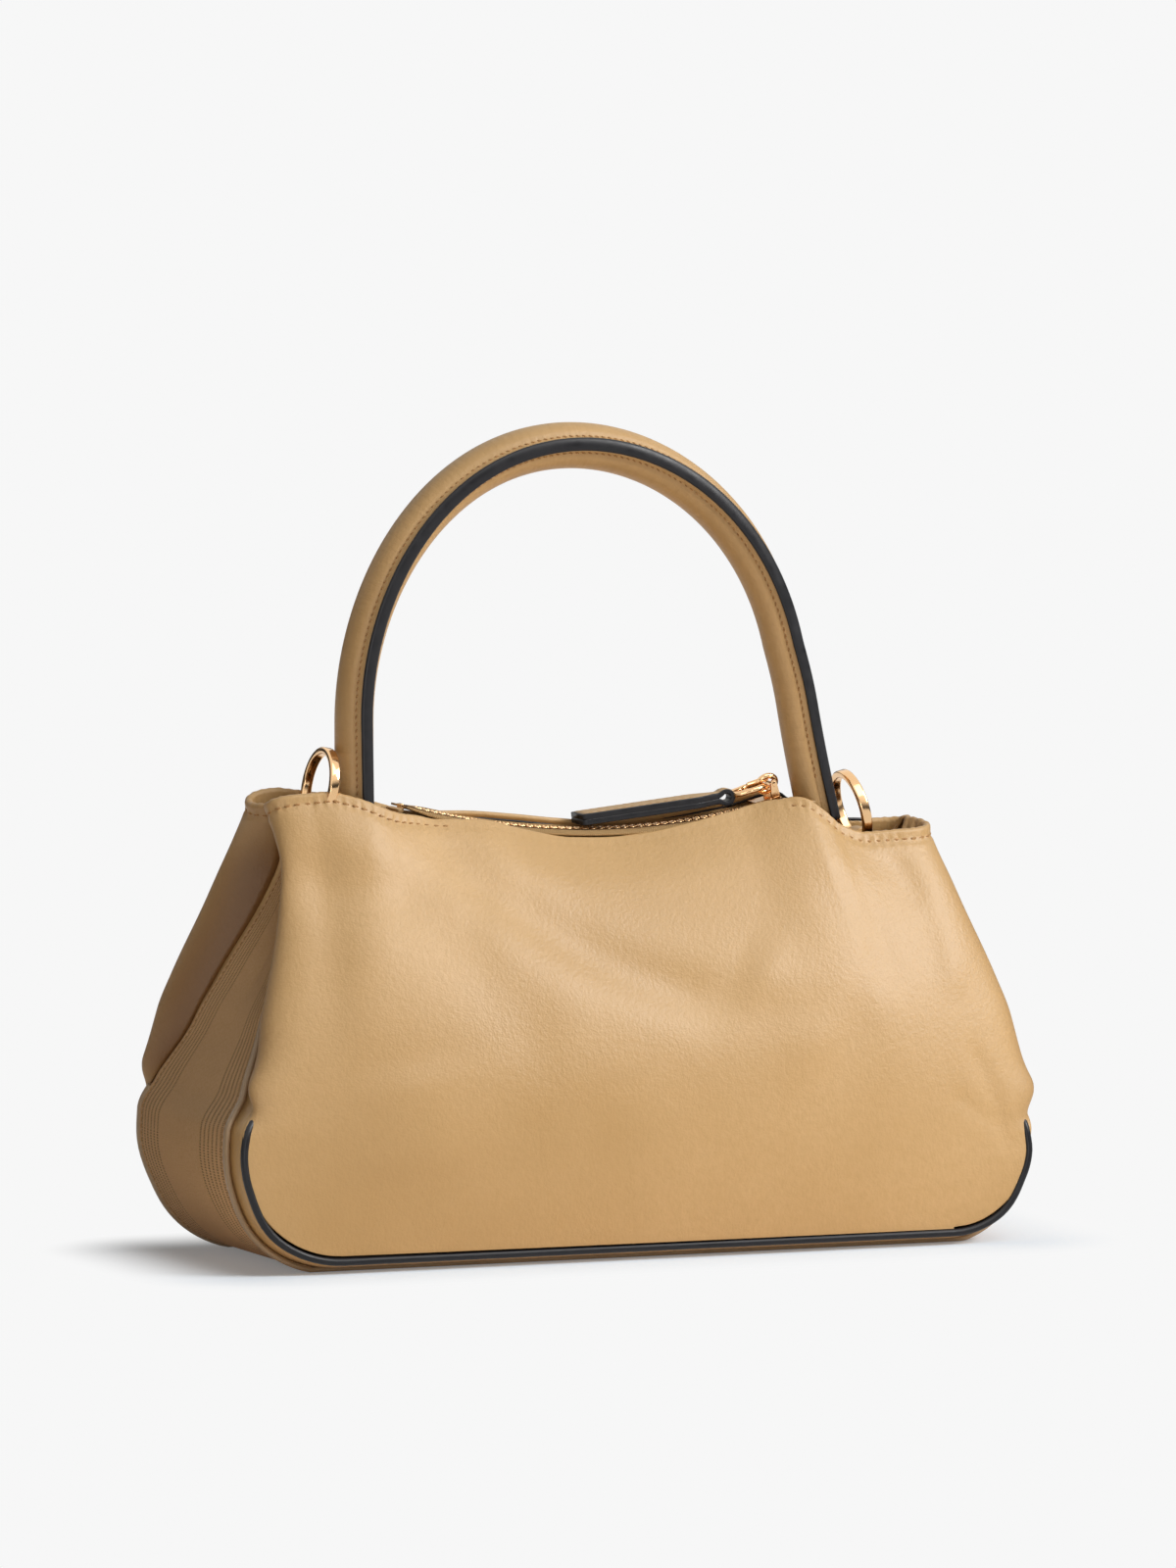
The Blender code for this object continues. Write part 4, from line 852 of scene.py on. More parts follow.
def sweep(name, path, outs, section, mat, sizes=None):
    """A closed section of (sideways, out) points swept along a path, with closed ends."""
    _, side, out = frames_along(path, outs)
    rings = np.array([[p + a * s + b * o for a, b in section] for p, s, o in zip(path, side, out)])
    return lay_grid(name, rings, mat, closed=True, caps=True, sizes=sizes)


def oval(width, height, sides, power=1.0):
    """A closed oval section. A power under 1 squares it up."""
    turns = 2 * math.pi * np.arange(sides) / sides
    c, s = np.cos(turns), np.sin(turns)
    return list(zip(width / 2 * np.sign(c) * abs(c) ** power, height / 2 * np.sign(s) * abs(s) ** power))


gusset_leather = lay_grid("gusset_leather", gusset_rows(-1, 1, GUSSET_COLUMNS), tan_leather)
dress(thicken(gusset_leather), "bag", "leather", "gusset")
for name, half in (("front", -1), ("back", 1)):
    path, outs = bead_path(half)
    bead = sweep(f"{name}_painted_seam", path, outs, oval(SEAM_EDGE, SEAM_EDGE, BEAD_SIDES), painted)
    dress(bead, "bag", "painted_edge", f"{name}_seam_edge")

# %% [markdown]
# The webbing is a flat woven band. Its middle is a fine twill, and near each border there is a zone
# of open ribs. The pattern has to follow the band round its corners, so it reads the band's own UV
# map, which is measured in metres. A narrow folded border lies along both sides.

# %% Woven band
BAND_SPAN = 0.068
RIB_PITCH = 0.0028
PICK_PITCH = 0.0007
RIB_ZONE = (0.0025, 0.0190)
RIB_FADE = 0.0004
BORDER_REST = 0.0009
BORDER = (0.0026, 0.0017)
BORDER_TOPS = (("front", 0, 1.0), ("back", -1, 0.31))
BAND_COLUMNS = 54


def webbing():
    """Greige webbing: twill in the middle, open ribs near the borders."""
    made, tree, shader = finish("woven webbing", (0.70, 0.44, 0.225), 0.82, specular=0.15)
    across, along = uv_parts(tree)
    edge = calc(tree, "MINIMUM", across, calc(tree, "SUBTRACT", BAND_SPAN, across))
    zone = calc(tree, "MULTIPLY", levels(tree, edge, RIB_ZONE[0] - RIB_FADE, RIB_ZONE[0] + RIB_FADE),
                levels(tree, edge, RIB_ZONE[1] + RIB_FADE, RIB_ZONE[1] - RIB_FADE))
    hole = calc(tree, "MULTIPLY", calc(tree, "POWER", ripple(tree, edge, RIB_PITCH), 2.5),
                calc(tree, "POWER", ripple(tree, along, PICK_PITCH), 1.3))
    slope = calc(tree, "ADD", across, calc(tree, "MULTIPLY", along, 0.6))
    twill = calc(tree, "MULTIPLY", ripple(tree, slope, 0.00085), ripple(tree, along, 0.00055))
    open_rib = calc(tree, "MULTIPLY", hole, zone)
    plain = calc(tree, "MULTIPLY", calc(tree, "MULTIPLY", twill, 0.45), calc(tree, "SUBTRACT", 1.0, zone))
    height = calc(tree, "SUBTRACT", calc(tree, "ADD", plain, 0.6), open_rib)
    fibre = texture(tree, "Noise", 1500.0, 2.0)
    tone = blend_colours(tree, texture(tree, "Noise", 30.0, 3.0), (0.64, 0.40, 0.20), (0.75, 0.48, 0.25))
    tone = blend_colours(tree, levels(tree, fibre, 0.3, 0.7, 0.0, 0.5), tone, (0.82, 0.56, 0.32))
    # Painted shade: the openings of the open ribs are coloured near black, as the shade inside them.
    tone = blend_colours(tree, calc(tree, "MULTIPLY", open_rib, 0.95), tone, (0.12, 0.065, 0.028))
    feed(tree, shader, {"Base Color": tone, "Sheen Weight": 0.08, "Sheen Roughness": 0.5})
    bump(tree, shader, calc(tree, "ADD", height, calc(tree, "MULTIPLY", fibre, 0.3)), 0.00025, 0.8)
    return made


band_length = float(run_along(gusset_rows(0, 0.01, 2)[:, 0])[-1])
band_grid = gusset_rows(-BAND_WIDTH, BAND_WIDTH, BAND_COLUMNS)
band_out = normals_of(band_grid)
band_grid = band_grid + band_out * (BAND_THICKNESS + CLEARANCE)
band = lay_grid("woven_webbing", band_grid, webbing(), sizes=(BAND_SPAN, band_length))
dress(thicken(band, BAND_THICKNESS), "bag", "woven_band", "woven_band")
border_leather = leather("border leather", (0.42, 0.29, 0.17), (0.36, 0.245, 0.14), (0.47, 0.335, 0.20),
                         depth=0.00006)
band_shares = np.array([share_of_height(station[0], station[2]) for station in stations])
for name, column, top in BORDER_TOPS:
    keep = band_shares < top
    path = band_grid[keep, column].copy()
    path[:, 2] = np.maximum(path[:, 2], BORDER_REST)
    border = sweep(f"band_border_{name}", path, band_out[keep, column], oval(*BORDER, 10, 0.8),
                   border_leather)
    dress(border, "bag", "leather")
print("band length", round(band_length, 4))

# %% [markdown]
# The handle is a cord core in a leather tube. The leather's two edges meet along the front, are sewn
# together and stand up as a low ridge, whose cut face is painted black. The tube is a round section
# with that ridge, swept along an arch and turned slowly on the way, because the seam is twisted.

# %% Handle form
HANDLE_SPAN = 0.1428
HANDLE_RISE = 0.082
HANDLE_SHIFT = -0.0041
HANDLE_SHOULDER = 0.162
HANDLE_PIVOT = 0.134
SPLAY_TOP = 0.182
LEG_RADIUS = 0.0059
GRIP_RADIUS = 0.0070
RIDGE_WIDTH = 0.0038
RIDGE_HEIGHT = 0.0011
EDGE_PAINT = 0.0010
PAINT_LAP = 0.00015
ROLL_LEFT = math.radians(16)
ROLL_RIGHT = math.radians(-28)
HANDLE_STEPS = 236
HANDLE_TUCKED = 0.024
STITCH_SETBACK = 0.0008
APEX_SHIFT = 0.0018
LEG_SHIFT = 0.0009
TUBE_SIDES = 56


def handle_centre(share):
    """Centre line: a leg, half an ellipse and a leg that splays outwards."""
    arch = math.pi / 2 * (HANDLE_SPAN / 2 + HANDLE_RISE)
    leg = HANDLE_SHOULDER - HANDLE_PIVOT
    along = share * (arch + 2 * leg)
    if along < leg:
        x, z = -HANDLE_SPAN / 2, HANDLE_PIVOT + along
    elif along > leg + arch:
        x, z = HANDLE_SPAN / 2, HANDLE_PIVOT + (arch + 2 * leg - along)
    else:
        turn = math.pi * (along - leg) / arch
        x, z = -HANDLE_SPAN / 2 * math.cos(turn), HANDLE_SHOULDER + HANDLE_RISE * math.sin(turn)
        x -= APEX_SHIFT * math.sin(turn) ** 4
    if x < 0:
        x += LEG_SHIFT * (x / (HANDLE_SPAN / 2)) ** 2
    if x > 0:
        x += -2 * HANDLE_SHIFT * np.clip((SPLAY_TOP - z) / (SPLAY_TOP - HANDLE_PIVOT), 0, None) ** 1.3
    return np.array([x + HANDLE_SHIFT, 0.0, z])


handle_shares = np.linspace(-HANDLE_TUCKED, 1 + HANDLE_TUCKED, HANDLE_STEPS)
handle_path = np.array([handle_centre(share) for share in handle_shares])
handle_along = unit(np.gradient(handle_path, axis=0))
handle_length = float(run_along(handle_path)[-1])
roll = (ROLL_LEFT + (ROLL_RIGHT - ROLL_LEFT) * handle_shares)[:, None]
handle_seam = -np.cos(roll) * TO_BACK + np.sin(roll) * np.cross(handle_along, -TO_BACK)
handle_away = np.cross(handle_along, handle_seam)
handle_radius = LEG_RADIUS + (GRIP_RADIUS - LEG_RADIUS) * ease(
    0.12, 0.5, np.minimum(handle_shares, 1 - handle_shares))


def handle_rings(shape, sides):
    """Rings of points round the handle. Shape gives (towards the seam, across) from radius and angle."""
    turns = 2 * math.pi * np.arange(sides) / sides
    rings = []
    for centre, seam, away, radius in zip(handle_path, handle_seam, handle_away, handle_radius):
        rings.append([centre + a * seam + b * away for a, b in (shape(radius, turn) for turn in turns)])
    return np.array(rings)


def tube_shape(radius, turn):
    """A round section with the sewn ridge at angle zero and a shallow stitch groove beside it."""
    turn = (turn + math.pi) % (2 * math.pi) - math.pi
    across = abs(radius * turn)
    ridge = RIDGE_HEIGHT * (1 - ease(RIDGE_WIDTH / 2, RIDGE_WIDTH / 2 + 0.0006, across))
    groove = 0.00045 * math.exp(-(((across - RIDGE_WIDTH / 2 - STITCH_SETBACK) / 0.0005) ** 2))
    reach = radius + ridge - groove
    return reach * math.cos(turn), reach * math.sin(turn)


def paint_shape(radius, turn):
    """The painted edge: a soft pad on top of the ridge."""
    a = radius + RIDGE_HEIGHT + EDGE_PAINT * (0.15 + 0.95 * max(0.0, math.cos(turn)) ** 0.7)
    return a, (RIDGE_WIDTH / 2 + PAINT_LAP) * math.sin(turn)


def rolled_hide():
    """The handle's leather: finer, and creased across where it is rolled."""
    made = leather("handle leather", TAN, (0.50, 0.30, 0.115), (0.62, 0.39, 0.17), 1100.0, 0.00009)
    tree = made.node_tree
    shader = tree.nodes["Principled BSDF"]
    below = shader.inputs["Normal"].links[0].from_socket
    crease = texture(tree, "Noise", 1.0, 3.0, "UV", (140.0, 620.0, 1.0))
    bump(tree, shader, crease, 0.00035, 0.55, below)
    return made


rolled_leather = rolled_hide()
tube = lay_grid("handle_tube", handle_rings(tube_shape, TUBE_SIDES), rolled_leather, closed=True, caps=True,
                sizes=(2 * math.pi * GRIP_RADIUS, handle_length))
dress(tube, "handle", "leather", "handle_leather")
edge = lay_grid("handle_painted_edge", handle_rings(paint_shape, 20), painted, closed=True, caps=True)
dress(edge, "handle", "painted_edge", "handle_edge")
print("handle length", round(handle_length, 4))

# %% [markdown]
# A stitch is a short bead of thread, sunk a little in its groove. One is made from a sphere, drawn
# out and flattened, and a copy with its own mesh goes to every place along the line.

# %% Stitches
FINE_PITCH = 0.0021
FINE_WIDTH = 0.0006
HEM_WIDTH = 0.0008
HEM_SEAMS = (("left", -0.116, -0.046), ("right", 0.063, 0.120))
HEM_SINK = 0.0001
GROOVE_SINK = 0.00016
INWARD_FROM = 0.022


def one_stitch(length, width):
    """A single stitch at the origin, lying along X with Z up."""
    deselect()
    bpy.ops.mesh.primitive_uv_sphere_add(segments=8, ring_count=5, radius=0.5)
    piece = bpy.context.object
    edit_all()
    bpy.ops.transform.resize(value=(length, width, width * 0.8))
    leave_edit()
    bpy.ops.object.shade_smooth()
    piece.data.materials.append(thread)
    return piece


def set_copies(name, source, places):
    """Copies of a piece at places given as (point, three axes), joined into one."""
    shape = points_of(source)
    made = []
    for point, axes in places:
        copy = source.copy()
        copy.data = source.data.copy()
        put_points(copy, point + shape @ np.array(axes))
        bpy.context.collection.objects.link(copy)
        made.append(copy)
    bpy.data.objects.remove(source)
    deselect()
    for copy in made:
        copy.select_set(True)
    bpy.context.view_layer.objects.active = made[0]
    bpy.ops.object.join()
    return named(name)


def sew(name, path, outs, pitch, body, slot, width, sink=0.0, slant=0.0):
    """Lays stitches along a path of points, each square to the way out there, or to one way for all."""
    run = run_along(path)
    count = max(2, int(run[-1] / pitch))
    at = (np.arange(count) + 0.5) * run[-1] / count
    spots = read_at(at, run, path)
    along, side, out = frames_along(spots, read_at(at, run, np.broadcast_to(outs, path.shape)))
    along = along * math.cos(slant) + side * math.sin(slant)
    axes = np.stack([along, np.cross(out, along), out], 1)
    places = zip(spots - sink * out, axes)
    dress(set_copies(name, one_stitch(pitch * 0.72, width), places), body, slot)


bare = (handle_shares > 0.02) & (handle_shares < 0.98)
for name, way in (("outer", 1), ("inner", -1)):
    turn = way * (RIDGE_WIDTH / 2 + STITCH_SETBACK) / handle_radius[:, None]
    outs = np.cos(turn) * handle_seam + np.sin(turn) * handle_away
    path = handle_path + handle_radius[:, None] * outs
    sew(f"handle_stitches_{name}", path[bare], outs[bare], FINE_PITCH, "handle", "leather", FINE_WIDTH,
        GROOVE_SINK, slant=0.3)


def hem_line(grid, half, first, last, setback):
    """A hem's line of stitches, at a distance below it, from one place in X to another.

    It stops where the hem turns in at the ends, further from the middle than INWARD_FROM.
    """
    rows = grid[: CORNER_ROWS + SIDE_ROWS]
    if half > 0:
        rows = rows[:, ::-1]
    outs = normals_of(rows, -half)[::-1]
    path, ways = [], []
    for j, down in enumerate(rows[::-1].transpose(1, 0, 2)):
        if first <= down[0, 0] <= last and abs(down[0, 1]) <= INWARD_FROM:
            run = run_along(down)
            path.append(read_at(setback, run, down))
            ways.append(read_at(setback, run, outs[:, j]))
    return np.array(path), np.array(ways)


for name, grid, half in (("front", front_grid, -1), ("back", back_grid, 1)):
    for place, first, last in HEM_SEAMS:
        path, ways = hem_line(grid, half, first, last, HEM_SETBACK - HEM_ROLL)
        sew(f"{name}_hem_stitches_{place}", path, ways, STITCH_PITCH, "bag", "leather", HEM_WIDTH, HEM_SINK)

# %% [markdown]
# The black line along the back hem is the inner cut edge of its turned leather. It lies just inside
# the crest at the open corner, and a little lower beside the zip.

# %% Inner hem edge and the band's stitches
HEM_PAINT = 0.0011
HEM_PAINT_REACH = (-0.062, 0.112)
HEM_PAINT_OUT = (0.0, -1.0, 0.35)
BAND_THREAD = 0.0004
THREAD_REST = 0.0002

rows = back_grid[:, ::-1]
crest = CORNER_ROWS + SIDE_ROWS
x = rows[crest - 1, :, 0]
high = rows[crest + 5]
path = high + (rows[-2] - high) * beside_zip(x, 0.012)[:, None]
keep = (x > HEM_PAINT_REACH[0]) & (x < HEM_PAINT_REACH[1]) & (np.arange(len(x)) < len(x) - WRAPS)
hem_paint = sweep("back_hem_paint", path[keep][::2], HEM_PAINT_OUT, oval(HEM_PAINT, HEM_PAINT, 8), painted)
dress(hem_paint, "bag", "painted_edge")
for name, column in (("front", 2), ("back", -3)):
    path = band_grid[:, column].copy()
    path[:, 2] = np.maximum(path[:, 2], THREAD_REST)
    sew(f"band_stitches_{name}", path, band_out[:, column], FINE_PITCH, "bag", "woven_band", BAND_THREAD)

# %% [markdown]
# Polished gold and the zip's softer brass. Handling leaves faint smears, so the roughness drifts and
# the surface has a very fine unevenness.

# %% Metals
def metal(name, colour, deep, rough):
    """Polished metal with smears and a fine unevenness."""
    made, tree, shader = finish(name, colour, rough, 1.0)
    smear = texture(tree, "Noise", 220.0, 4.0)
    feed(tree, shader, {"Roughness": levels(tree, smear, 0.3, 0.7, rough * 0.7, rough * 1.5),
                        "Base Color": blend_colours(tree, smear, colour, deep)})
    bump(tree, shader, texture(tree, "Noise", 2600.0, 2.0), 0.00003, 0.25)
    return made


gold = metal("polished gold", (0.88, 0.58, 0.32), (0.80, 0.50, 0.25), 0.13)
brass = metal("zip brass", (0.84, 0.56, 0.30), (0.72, 0.45, 0.22), 0.2)
print("metals ready")

# %% [markdown]
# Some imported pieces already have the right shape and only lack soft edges: the slider, the stops, the
# handle's tongues. A copy is merged from its loose triangles, its flat faces are joined up, and its
# edges are rounded with a bevel.

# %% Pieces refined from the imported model
EARS = 0.42
STAY_DROP = 0.0019
SLIMMER = 0.8


def refine(node, name, mat, body, slot, width=0.0003, segments=3, reshape=None):
    """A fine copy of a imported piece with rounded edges. Reshape may move its points a little first."""
    piece = bpy.data.objects.new(name, bpy.data.objects[node].data.copy())
    piece.data.name = name
    bpy.context.collection.objects.link(piece)
    piece.data.materials.clear()
    piece.data.materials.append(mat)
    if reshape:
        put_points(piece, reshape(points_of(piece)))
    deselect()
    piece.select_set(True)
    bpy.context.view_layer.objects.active = piece
    edit_all()
    bpy.ops.mesh.remove_doubles(threshold=2e-6)
    bpy.ops.mesh.dissolve_limited(angle_limit=math.radians(1))
    leave_edit(outward=True)
    apply_modifier(piece, "BEVEL", width=width, segments=segments, angle_limit=math.radians(30))
    bpy.ops.object.shade_smooth()
    apply_modifier(piece, "WEIGHTED_NORMAL", keep_sharp=False)
    dress(piece, body, slot, node)


def slim_ears(points):
    """Narrows the slider's ears above its body, to rounded posts."""
    low, high = points[:, 2].min(), points[:, 2].max()
    middle = points[points[:, 2] > high - 0.002, 0].mean()
    share = EARS * ease(low + 0.4 * (high - low), low + 0.62 * (high - low), points[:, 2])
    points[:, 0] += (middle - points[:, 0]) * share
    return points


def lowered(points):
    return points - [0, 0, STAY_DROP]


def slimmer(points):
    return points * [1, SLIMMER, 1]


inner_leather = leather("inner leather", (0.50, 0.32, 0.15), (0.45, 0.28, 0.125), (0.55, 0.36, 0.18),
                        depth=0.00006)
refine("zip_slider", "slider_body", gold, "slider", "gold_metal", 0.00016, reshape=slim_ears)
for name in ("closed_end", "front", "back"):
    refine(f"zip_stop_{name}", f"stop_{name}", brass, "bag", "zip_metal", 0.00022)
for name in ("left", "right"):
    refine(f"zip_stay_{name}", f"stay_{name}", tan_leather, "bag", "leather", 0.0004, reshape=lowered)
    refine(f"handle_tongue_{name}", f"tongue_{name}", rolled_leather, "handle", "leather", 0.0009, 4)
    refine(f"handle_anchor_{name}", f"anchor_{name}", tan_leather, "bag", "leather", 0.0009, 4, slimmer)
    refine(f"pocket_floor_{name}", f"pocket_web_{name}", inner_leather, "bag", "leather", 0.0004,
           reshape=slimmer)

# %% [markdown]
# A metal zip: each tooth is a small stamped block that clamps the tape's edge cord, with a nib on its
# head. One tooth is modelled, and a copy is set at every place along the arc the zip hangs in.

# %% Zip teeth, cords and tapes
HANDLE_LEG_X = HANDLE_SPAN / 2 - HANDLE_SHIFT
ZIP_LOW_X = 0.008
ZIP_LOW_Z = 0.1266
ZIP_SAG = 0.0067
ZIP_START = 0.0195 - HANDLE_LEG_X
ZIP_END = HANDLE_LEG_X - 0.0180
ZIP_RADIUS = (ZIP_END - ZIP_START) ** 2 / (8 * ZIP_SAG)
SLIDER_X = HANDLE_LEG_X - 0.0155
SLIDER_LENGTH = 0.0090
TOOTH_PITCH = 0.0026
TOOTH_WIDTH = 0.00105
TOOTH_LENGTH = 0.0023
TOOTH_OVERLAP = 0.0007
TOOTH_HEIGHT = 0.0018
TOOTH_GRIP = 0.0007
CORD_WIDTH = 0.0011
TAPE_THICKNESS = 0.0006
TAPE_EDGE = 0.0050
TAPE_LAP = 0.0014
TAPE_OVERRUN = 0.0040
TAPE_LEAN = 0.62
TAPE_FLAT = 0.0047
ROW_LEAN = 0.03
ROW_INNER = TOOTH_LENGTH - TOOTH_OVERLAP
ROW_POINTS = 90
CORD_MAP = (0.003, 0.12)
TAPE_MAP = (0.004, 0.1215)


def zip_height(x):
    """Height of the teeth's middle: the zip hangs in an arc between the ears."""
    return ZIP_LOW_Z + ZIP_RADIUS - np.sqrt(ZIP_RADIUS**2 - (x - ZIP_LOW_X) ** 2)


def zip_turn(x):
    return float(np.arcsin((x - ZIP_LOW_X) / ZIP_RADIUS))


def steepness(x):
    """How far the zip leans to the front along its way, 0 at both ends."""
    return between(ZIP_START - 0.006, ZIP_START + 0.008, SLIDER_X - 0.014, SLIDER_X - 0.004, x)


def one_tooth():
    """A tooth at the origin: its head towards -Y, its clamp towards +Y."""
    deselect()
    bpy.ops.mesh.primitive_cube_add(size=1)
    piece = bpy.context.object
    edit_all()
    bpy.ops.transform.resize(value=(TOOTH_WIDTH, TOOTH_LENGTH + TOOTH_GRIP, TOOTH_HEIGHT))
    bpy.ops.transform.translate(value=(0, ROW_INNER - (TOOTH_LENGTH - TOOTH_GRIP) / 2, 0))
    bpy.ops.mesh.bevel(offset=TOOTH_WIDTH * 0.3, segments=3, affect="EDGES")
    bpy.ops.mesh.select_all(action="DESELECT")
    bpy.ops.mesh.primitive_uv_sphere_add(segments=8, ring_count=6, radius=TOOTH_WIDTH * 0.36,
                                         location=(0, -TOOTH_OVERLAP * 0.1, TOOTH_HEIGHT * 0.44))
    leave_edit()
    bpy.ops.object.shade_smooth()
    piece.data.materials.append(brass)
    return piece


def twisted(name, colour, roughness, tones, pitch, fold=None):
    """Ribbed yarn. With a fold it is herringbone tape, whose ribs turn back at that width."""
    made, tree, shader = finish(name, colour, roughness, specular=0.2)
    across, along = uv_parts(tree)
    if fold:
        across = calc(tree, "PINGPONG", across, fold)
    rib = ripple(tree, calc(tree, "ADD", along, across), pitch)
    feed(tree, shader, {"Base Color": blend_colours(tree, rib, *tones)})
    if fold:
        bump(tree, shader, rib, 0.00018, 0.8)
    return made


def part_rows(piece, half, slot, *replaced):
    """Bakes a piece's placement into its points and hides the nodes it stands for."""
    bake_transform(piece)
    mark(piece, replaced)


tape_cloth = twisted("zip tape", (0.52, 0.33, 0.15), 0.85, ((0.36, 0.21, 0.085), (0.60, 0.40, 0.19)),
                     0.00062, fold=0.0006)
# Painted shade: the edge cord is coloured near black, for the shade between the teeth.
painted_shade_yarn = twisted("zip cord", (0.07, 0.036, 0.015), 0.9, ((0.05, 0.025, 0.01), (0.10, 0.055, 0.024)),
                    0.0009)
tooth_count = int((ZIP_END - ZIP_START) / TOOTH_PITCH)
for name, half, phase in (("front", -1, 0.0), ("back", 1, 0.5)):
    places = []
    for x in ZIP_START + TOOTH_PITCH * (np.arange(tooth_count) + 0.5 + phase):
        up = heading(zip_turn(x) + math.pi / 2)
        lean = ROW_LEAN * steepness(x)
        across, upward = unit(TO_BACK + lean * up), unit(up - lean * TO_BACK)
        places.append((np.array([x, 0, zip_height(x)]), [half * heading(zip_turn(x)), half * across, upward]))
    row = set_copies(f"zip_row_{name}", one_tooth(), places)
    part_rows(row, half, "zip_metal", f"zip_teeth_{name}")
    x = np.linspace(ZIP_START - TOOTH_PITCH, ZIP_END + TOOTH_PITCH / 2, ROW_POINTS)
    away = ROW_INNER + CORD_WIDTH / 2
    level = zip_height(x) + steepness(x) * half * ROW_LEAN * away
    path = np.stack([x, np.full(len(x), half * away), level], 1)
    cord = sweep(f"zip_cord_{name}", path, (0, 0, 1), oval(CORD_WIDTH, TOOTH_HEIGHT * 0.72, 10), painted_shade_yarn,
                 sizes=CORD_MAP)
    part_rows(cord, half, "zip_tape")
    x = np.linspace(ZIP_START - TAPE_OVERRUN, SLIDER_X + SLIDER_LENGTH / 2, ROW_POINTS)[:, None]
    away = np.linspace(ROW_INNER + CORD_WIDTH * 0.8, TAPE_EDGE + TAPE_LAP, 10)[::-half]
    fall = half * TAPE_LEAN * steepness(x) * np.maximum(away - TAPE_FLAT, 0)
    level = zip_height(x) + TAPE_THICKNESS / 2 + fall
    tape = lay_grid(f"zip_tape_cloth_{name}", np.stack(np.broadcast_arrays(x, half * away, level), 2),
                    tape_cloth, sizes=TAPE_MAP)
    part_rows(thicken(tape, TAPE_THICKNESS), half, "zip_tape", f"zip_tape_{name}")
print("teeth a side", tooth_count)

# %% [markdown]
# Two links of round wire hang on the slider's pin. A link is a torus whose two halves are pushed
# apart. The strap rings are flat bands with rounded edges.

# %% Links and rings
PIN_RADIUS = 0.00075
PIN_RISE = 0.00615
PIN_SETBACK = 0.0026
LINK_WIRE = 0.0009
LINK_SLACK = 0.0002
UPPER_LINK = (0.0140, 0.0076)
LOWER_LINK = (0.0148, 0.0100)
UPPER_PITCH = math.radians(9)
UPPER_ROLL = math.radians(30)
LOWER_PITCH = math.radians(15)
RING_RADIUS = 0.0109
RING_WIDTH = 0.0031
RING_THICKNESS = 0.0021
RING_CORNER = 0.00062
RING_STEPS = 96
# Side, x and z of the loop's eye, lean of the ring, and height of the floor under the loop.
RINGS = (("left", -HANDLE_LEG_X - 0.0121, 0.1324, math.radians(11), 0.1160),
         ("right", HANDLE_LEG_X + 0.0155, 0.1198, math.radians(-14.5), 0.1065))


def rounded(width, height, radius, steps=4):
    """A closed rectangle with round corners."""
    points = []
    for side, top, start in ((1, -1, -90), (1, 1, 0), (-1, 1, 90), (-1, -1, 180)):
        for turn in np.radians(start + 90 * np.arange(steps + 1) / steps):
            points.append((side * (width / 2 - radius) + radius * math.cos(turn),
                           top * (height / 2 - radius) + radius * math.sin(turn)))
    return points


def oval_link(name, middle, direction, roll, size, body, node):
    """An oval link, its long way along a direction in the XZ plane."""
    length, width = size
    deselect()
    bpy.ops.mesh.primitive_torus_add(major_radius=width / 2 - LINK_WIRE, minor_radius=LINK_WIRE,
                                     major_segments=56, minor_segments=16)
    piece = named(name)
    for way in (-1, 1):
        for vert in piece.data.vertices:
            vert.select = way * vert.co.x > width / 1000
        bpy.ops.object.mode_set(mode="EDIT")
        bpy.ops.transform.translate(value=(way * (length - width) / 2, 0, 0))
        bpy.ops.mesh.select_all(action="DESELECT")
        leave_edit()
    wide = math.cos(roll) * TO_BACK + math.sin(roll) * np.cross(direction, TO_BACK)
    put_points(piece, middle + points_of(piece) @ np.array([direction, wide, np.cross(direction, wide)]))
    piece.data.materials.append(gold)
    bpy.ops.object.shade_smooth()
    dress(piece, body, "gold_metal", node)


slider_turn = zip_turn(SLIDER_X)
pin = np.array([SLIDER_X, 0, zip_height(SLIDER_X)]) + PIN_SETBACK * heading(slider_turn)
pin += PIN_RISE * heading(slider_turn + math.pi / 2)
left_way, down_way = -heading(UPPER_PITCH), -heading(LOWER_PITCH)
reach = UPPER_LINK[1] / 2 - 2 * LINK_WIRE - PIN_RADIUS - CLEARANCE
middle = pin + left_way * (reach + (UPPER_LINK[0] - UPPER_LINK[1]) / 2)
oval_link("link_upper", middle, left_way, math.pi / 2 - UPPER_ROLL, UPPER_LINK, "upper_link",
          "pull_link_upper")
link_joint = pin + left_way * (PIN_RADIUS + LINK_WIRE + CLEARANCE + LINK_SLACK)
middle = link_joint + down_way * (LOWER_LINK[0] / 2 - LINK_WIRE)
oval_link("link_lower", middle, down_way, 0.0, LOWER_LINK, "lower_link", "pull_link_lower")
tab_eye = link_joint + down_way * (LOWER_LINK[0] - 2 * LINK_WIRE)

for name, x, z, lean, floor_z in RINGS:
    up = heading(math.pi / 2 - lean)
    normal = np.cross(TO_BACK, up)
    centre = np.array([x, 0.0, z]) + RING_RADIUS * up
    section = rounded(RING_THICKNESS, RING_WIDTH, RING_CORNER)
    rings = []
    for turn in np.linspace(0, 2 * math.pi, RING_STEPS + 1):
        outward = math.cos(turn) * up + math.sin(turn) * TO_BACK
        rings.append([centre + (RING_RADIUS + a) * outward + b * normal for a, b in section])
    ring = lay_grid(f"strap_ring_{name}", rings, gold, closed=True)
    dress(ring, f"{name}_ring", "gold_metal", f"ring_{name}")

# %% [markdown]
# The pull tab and the ring loops are straps folded round metal. The strip's middle runs up one layer,
# round the eye and back down the other. The tab's sides are painted black, so a slightly narrower
# leather strip lies over a painted one, and its two layers part where they pass the link.

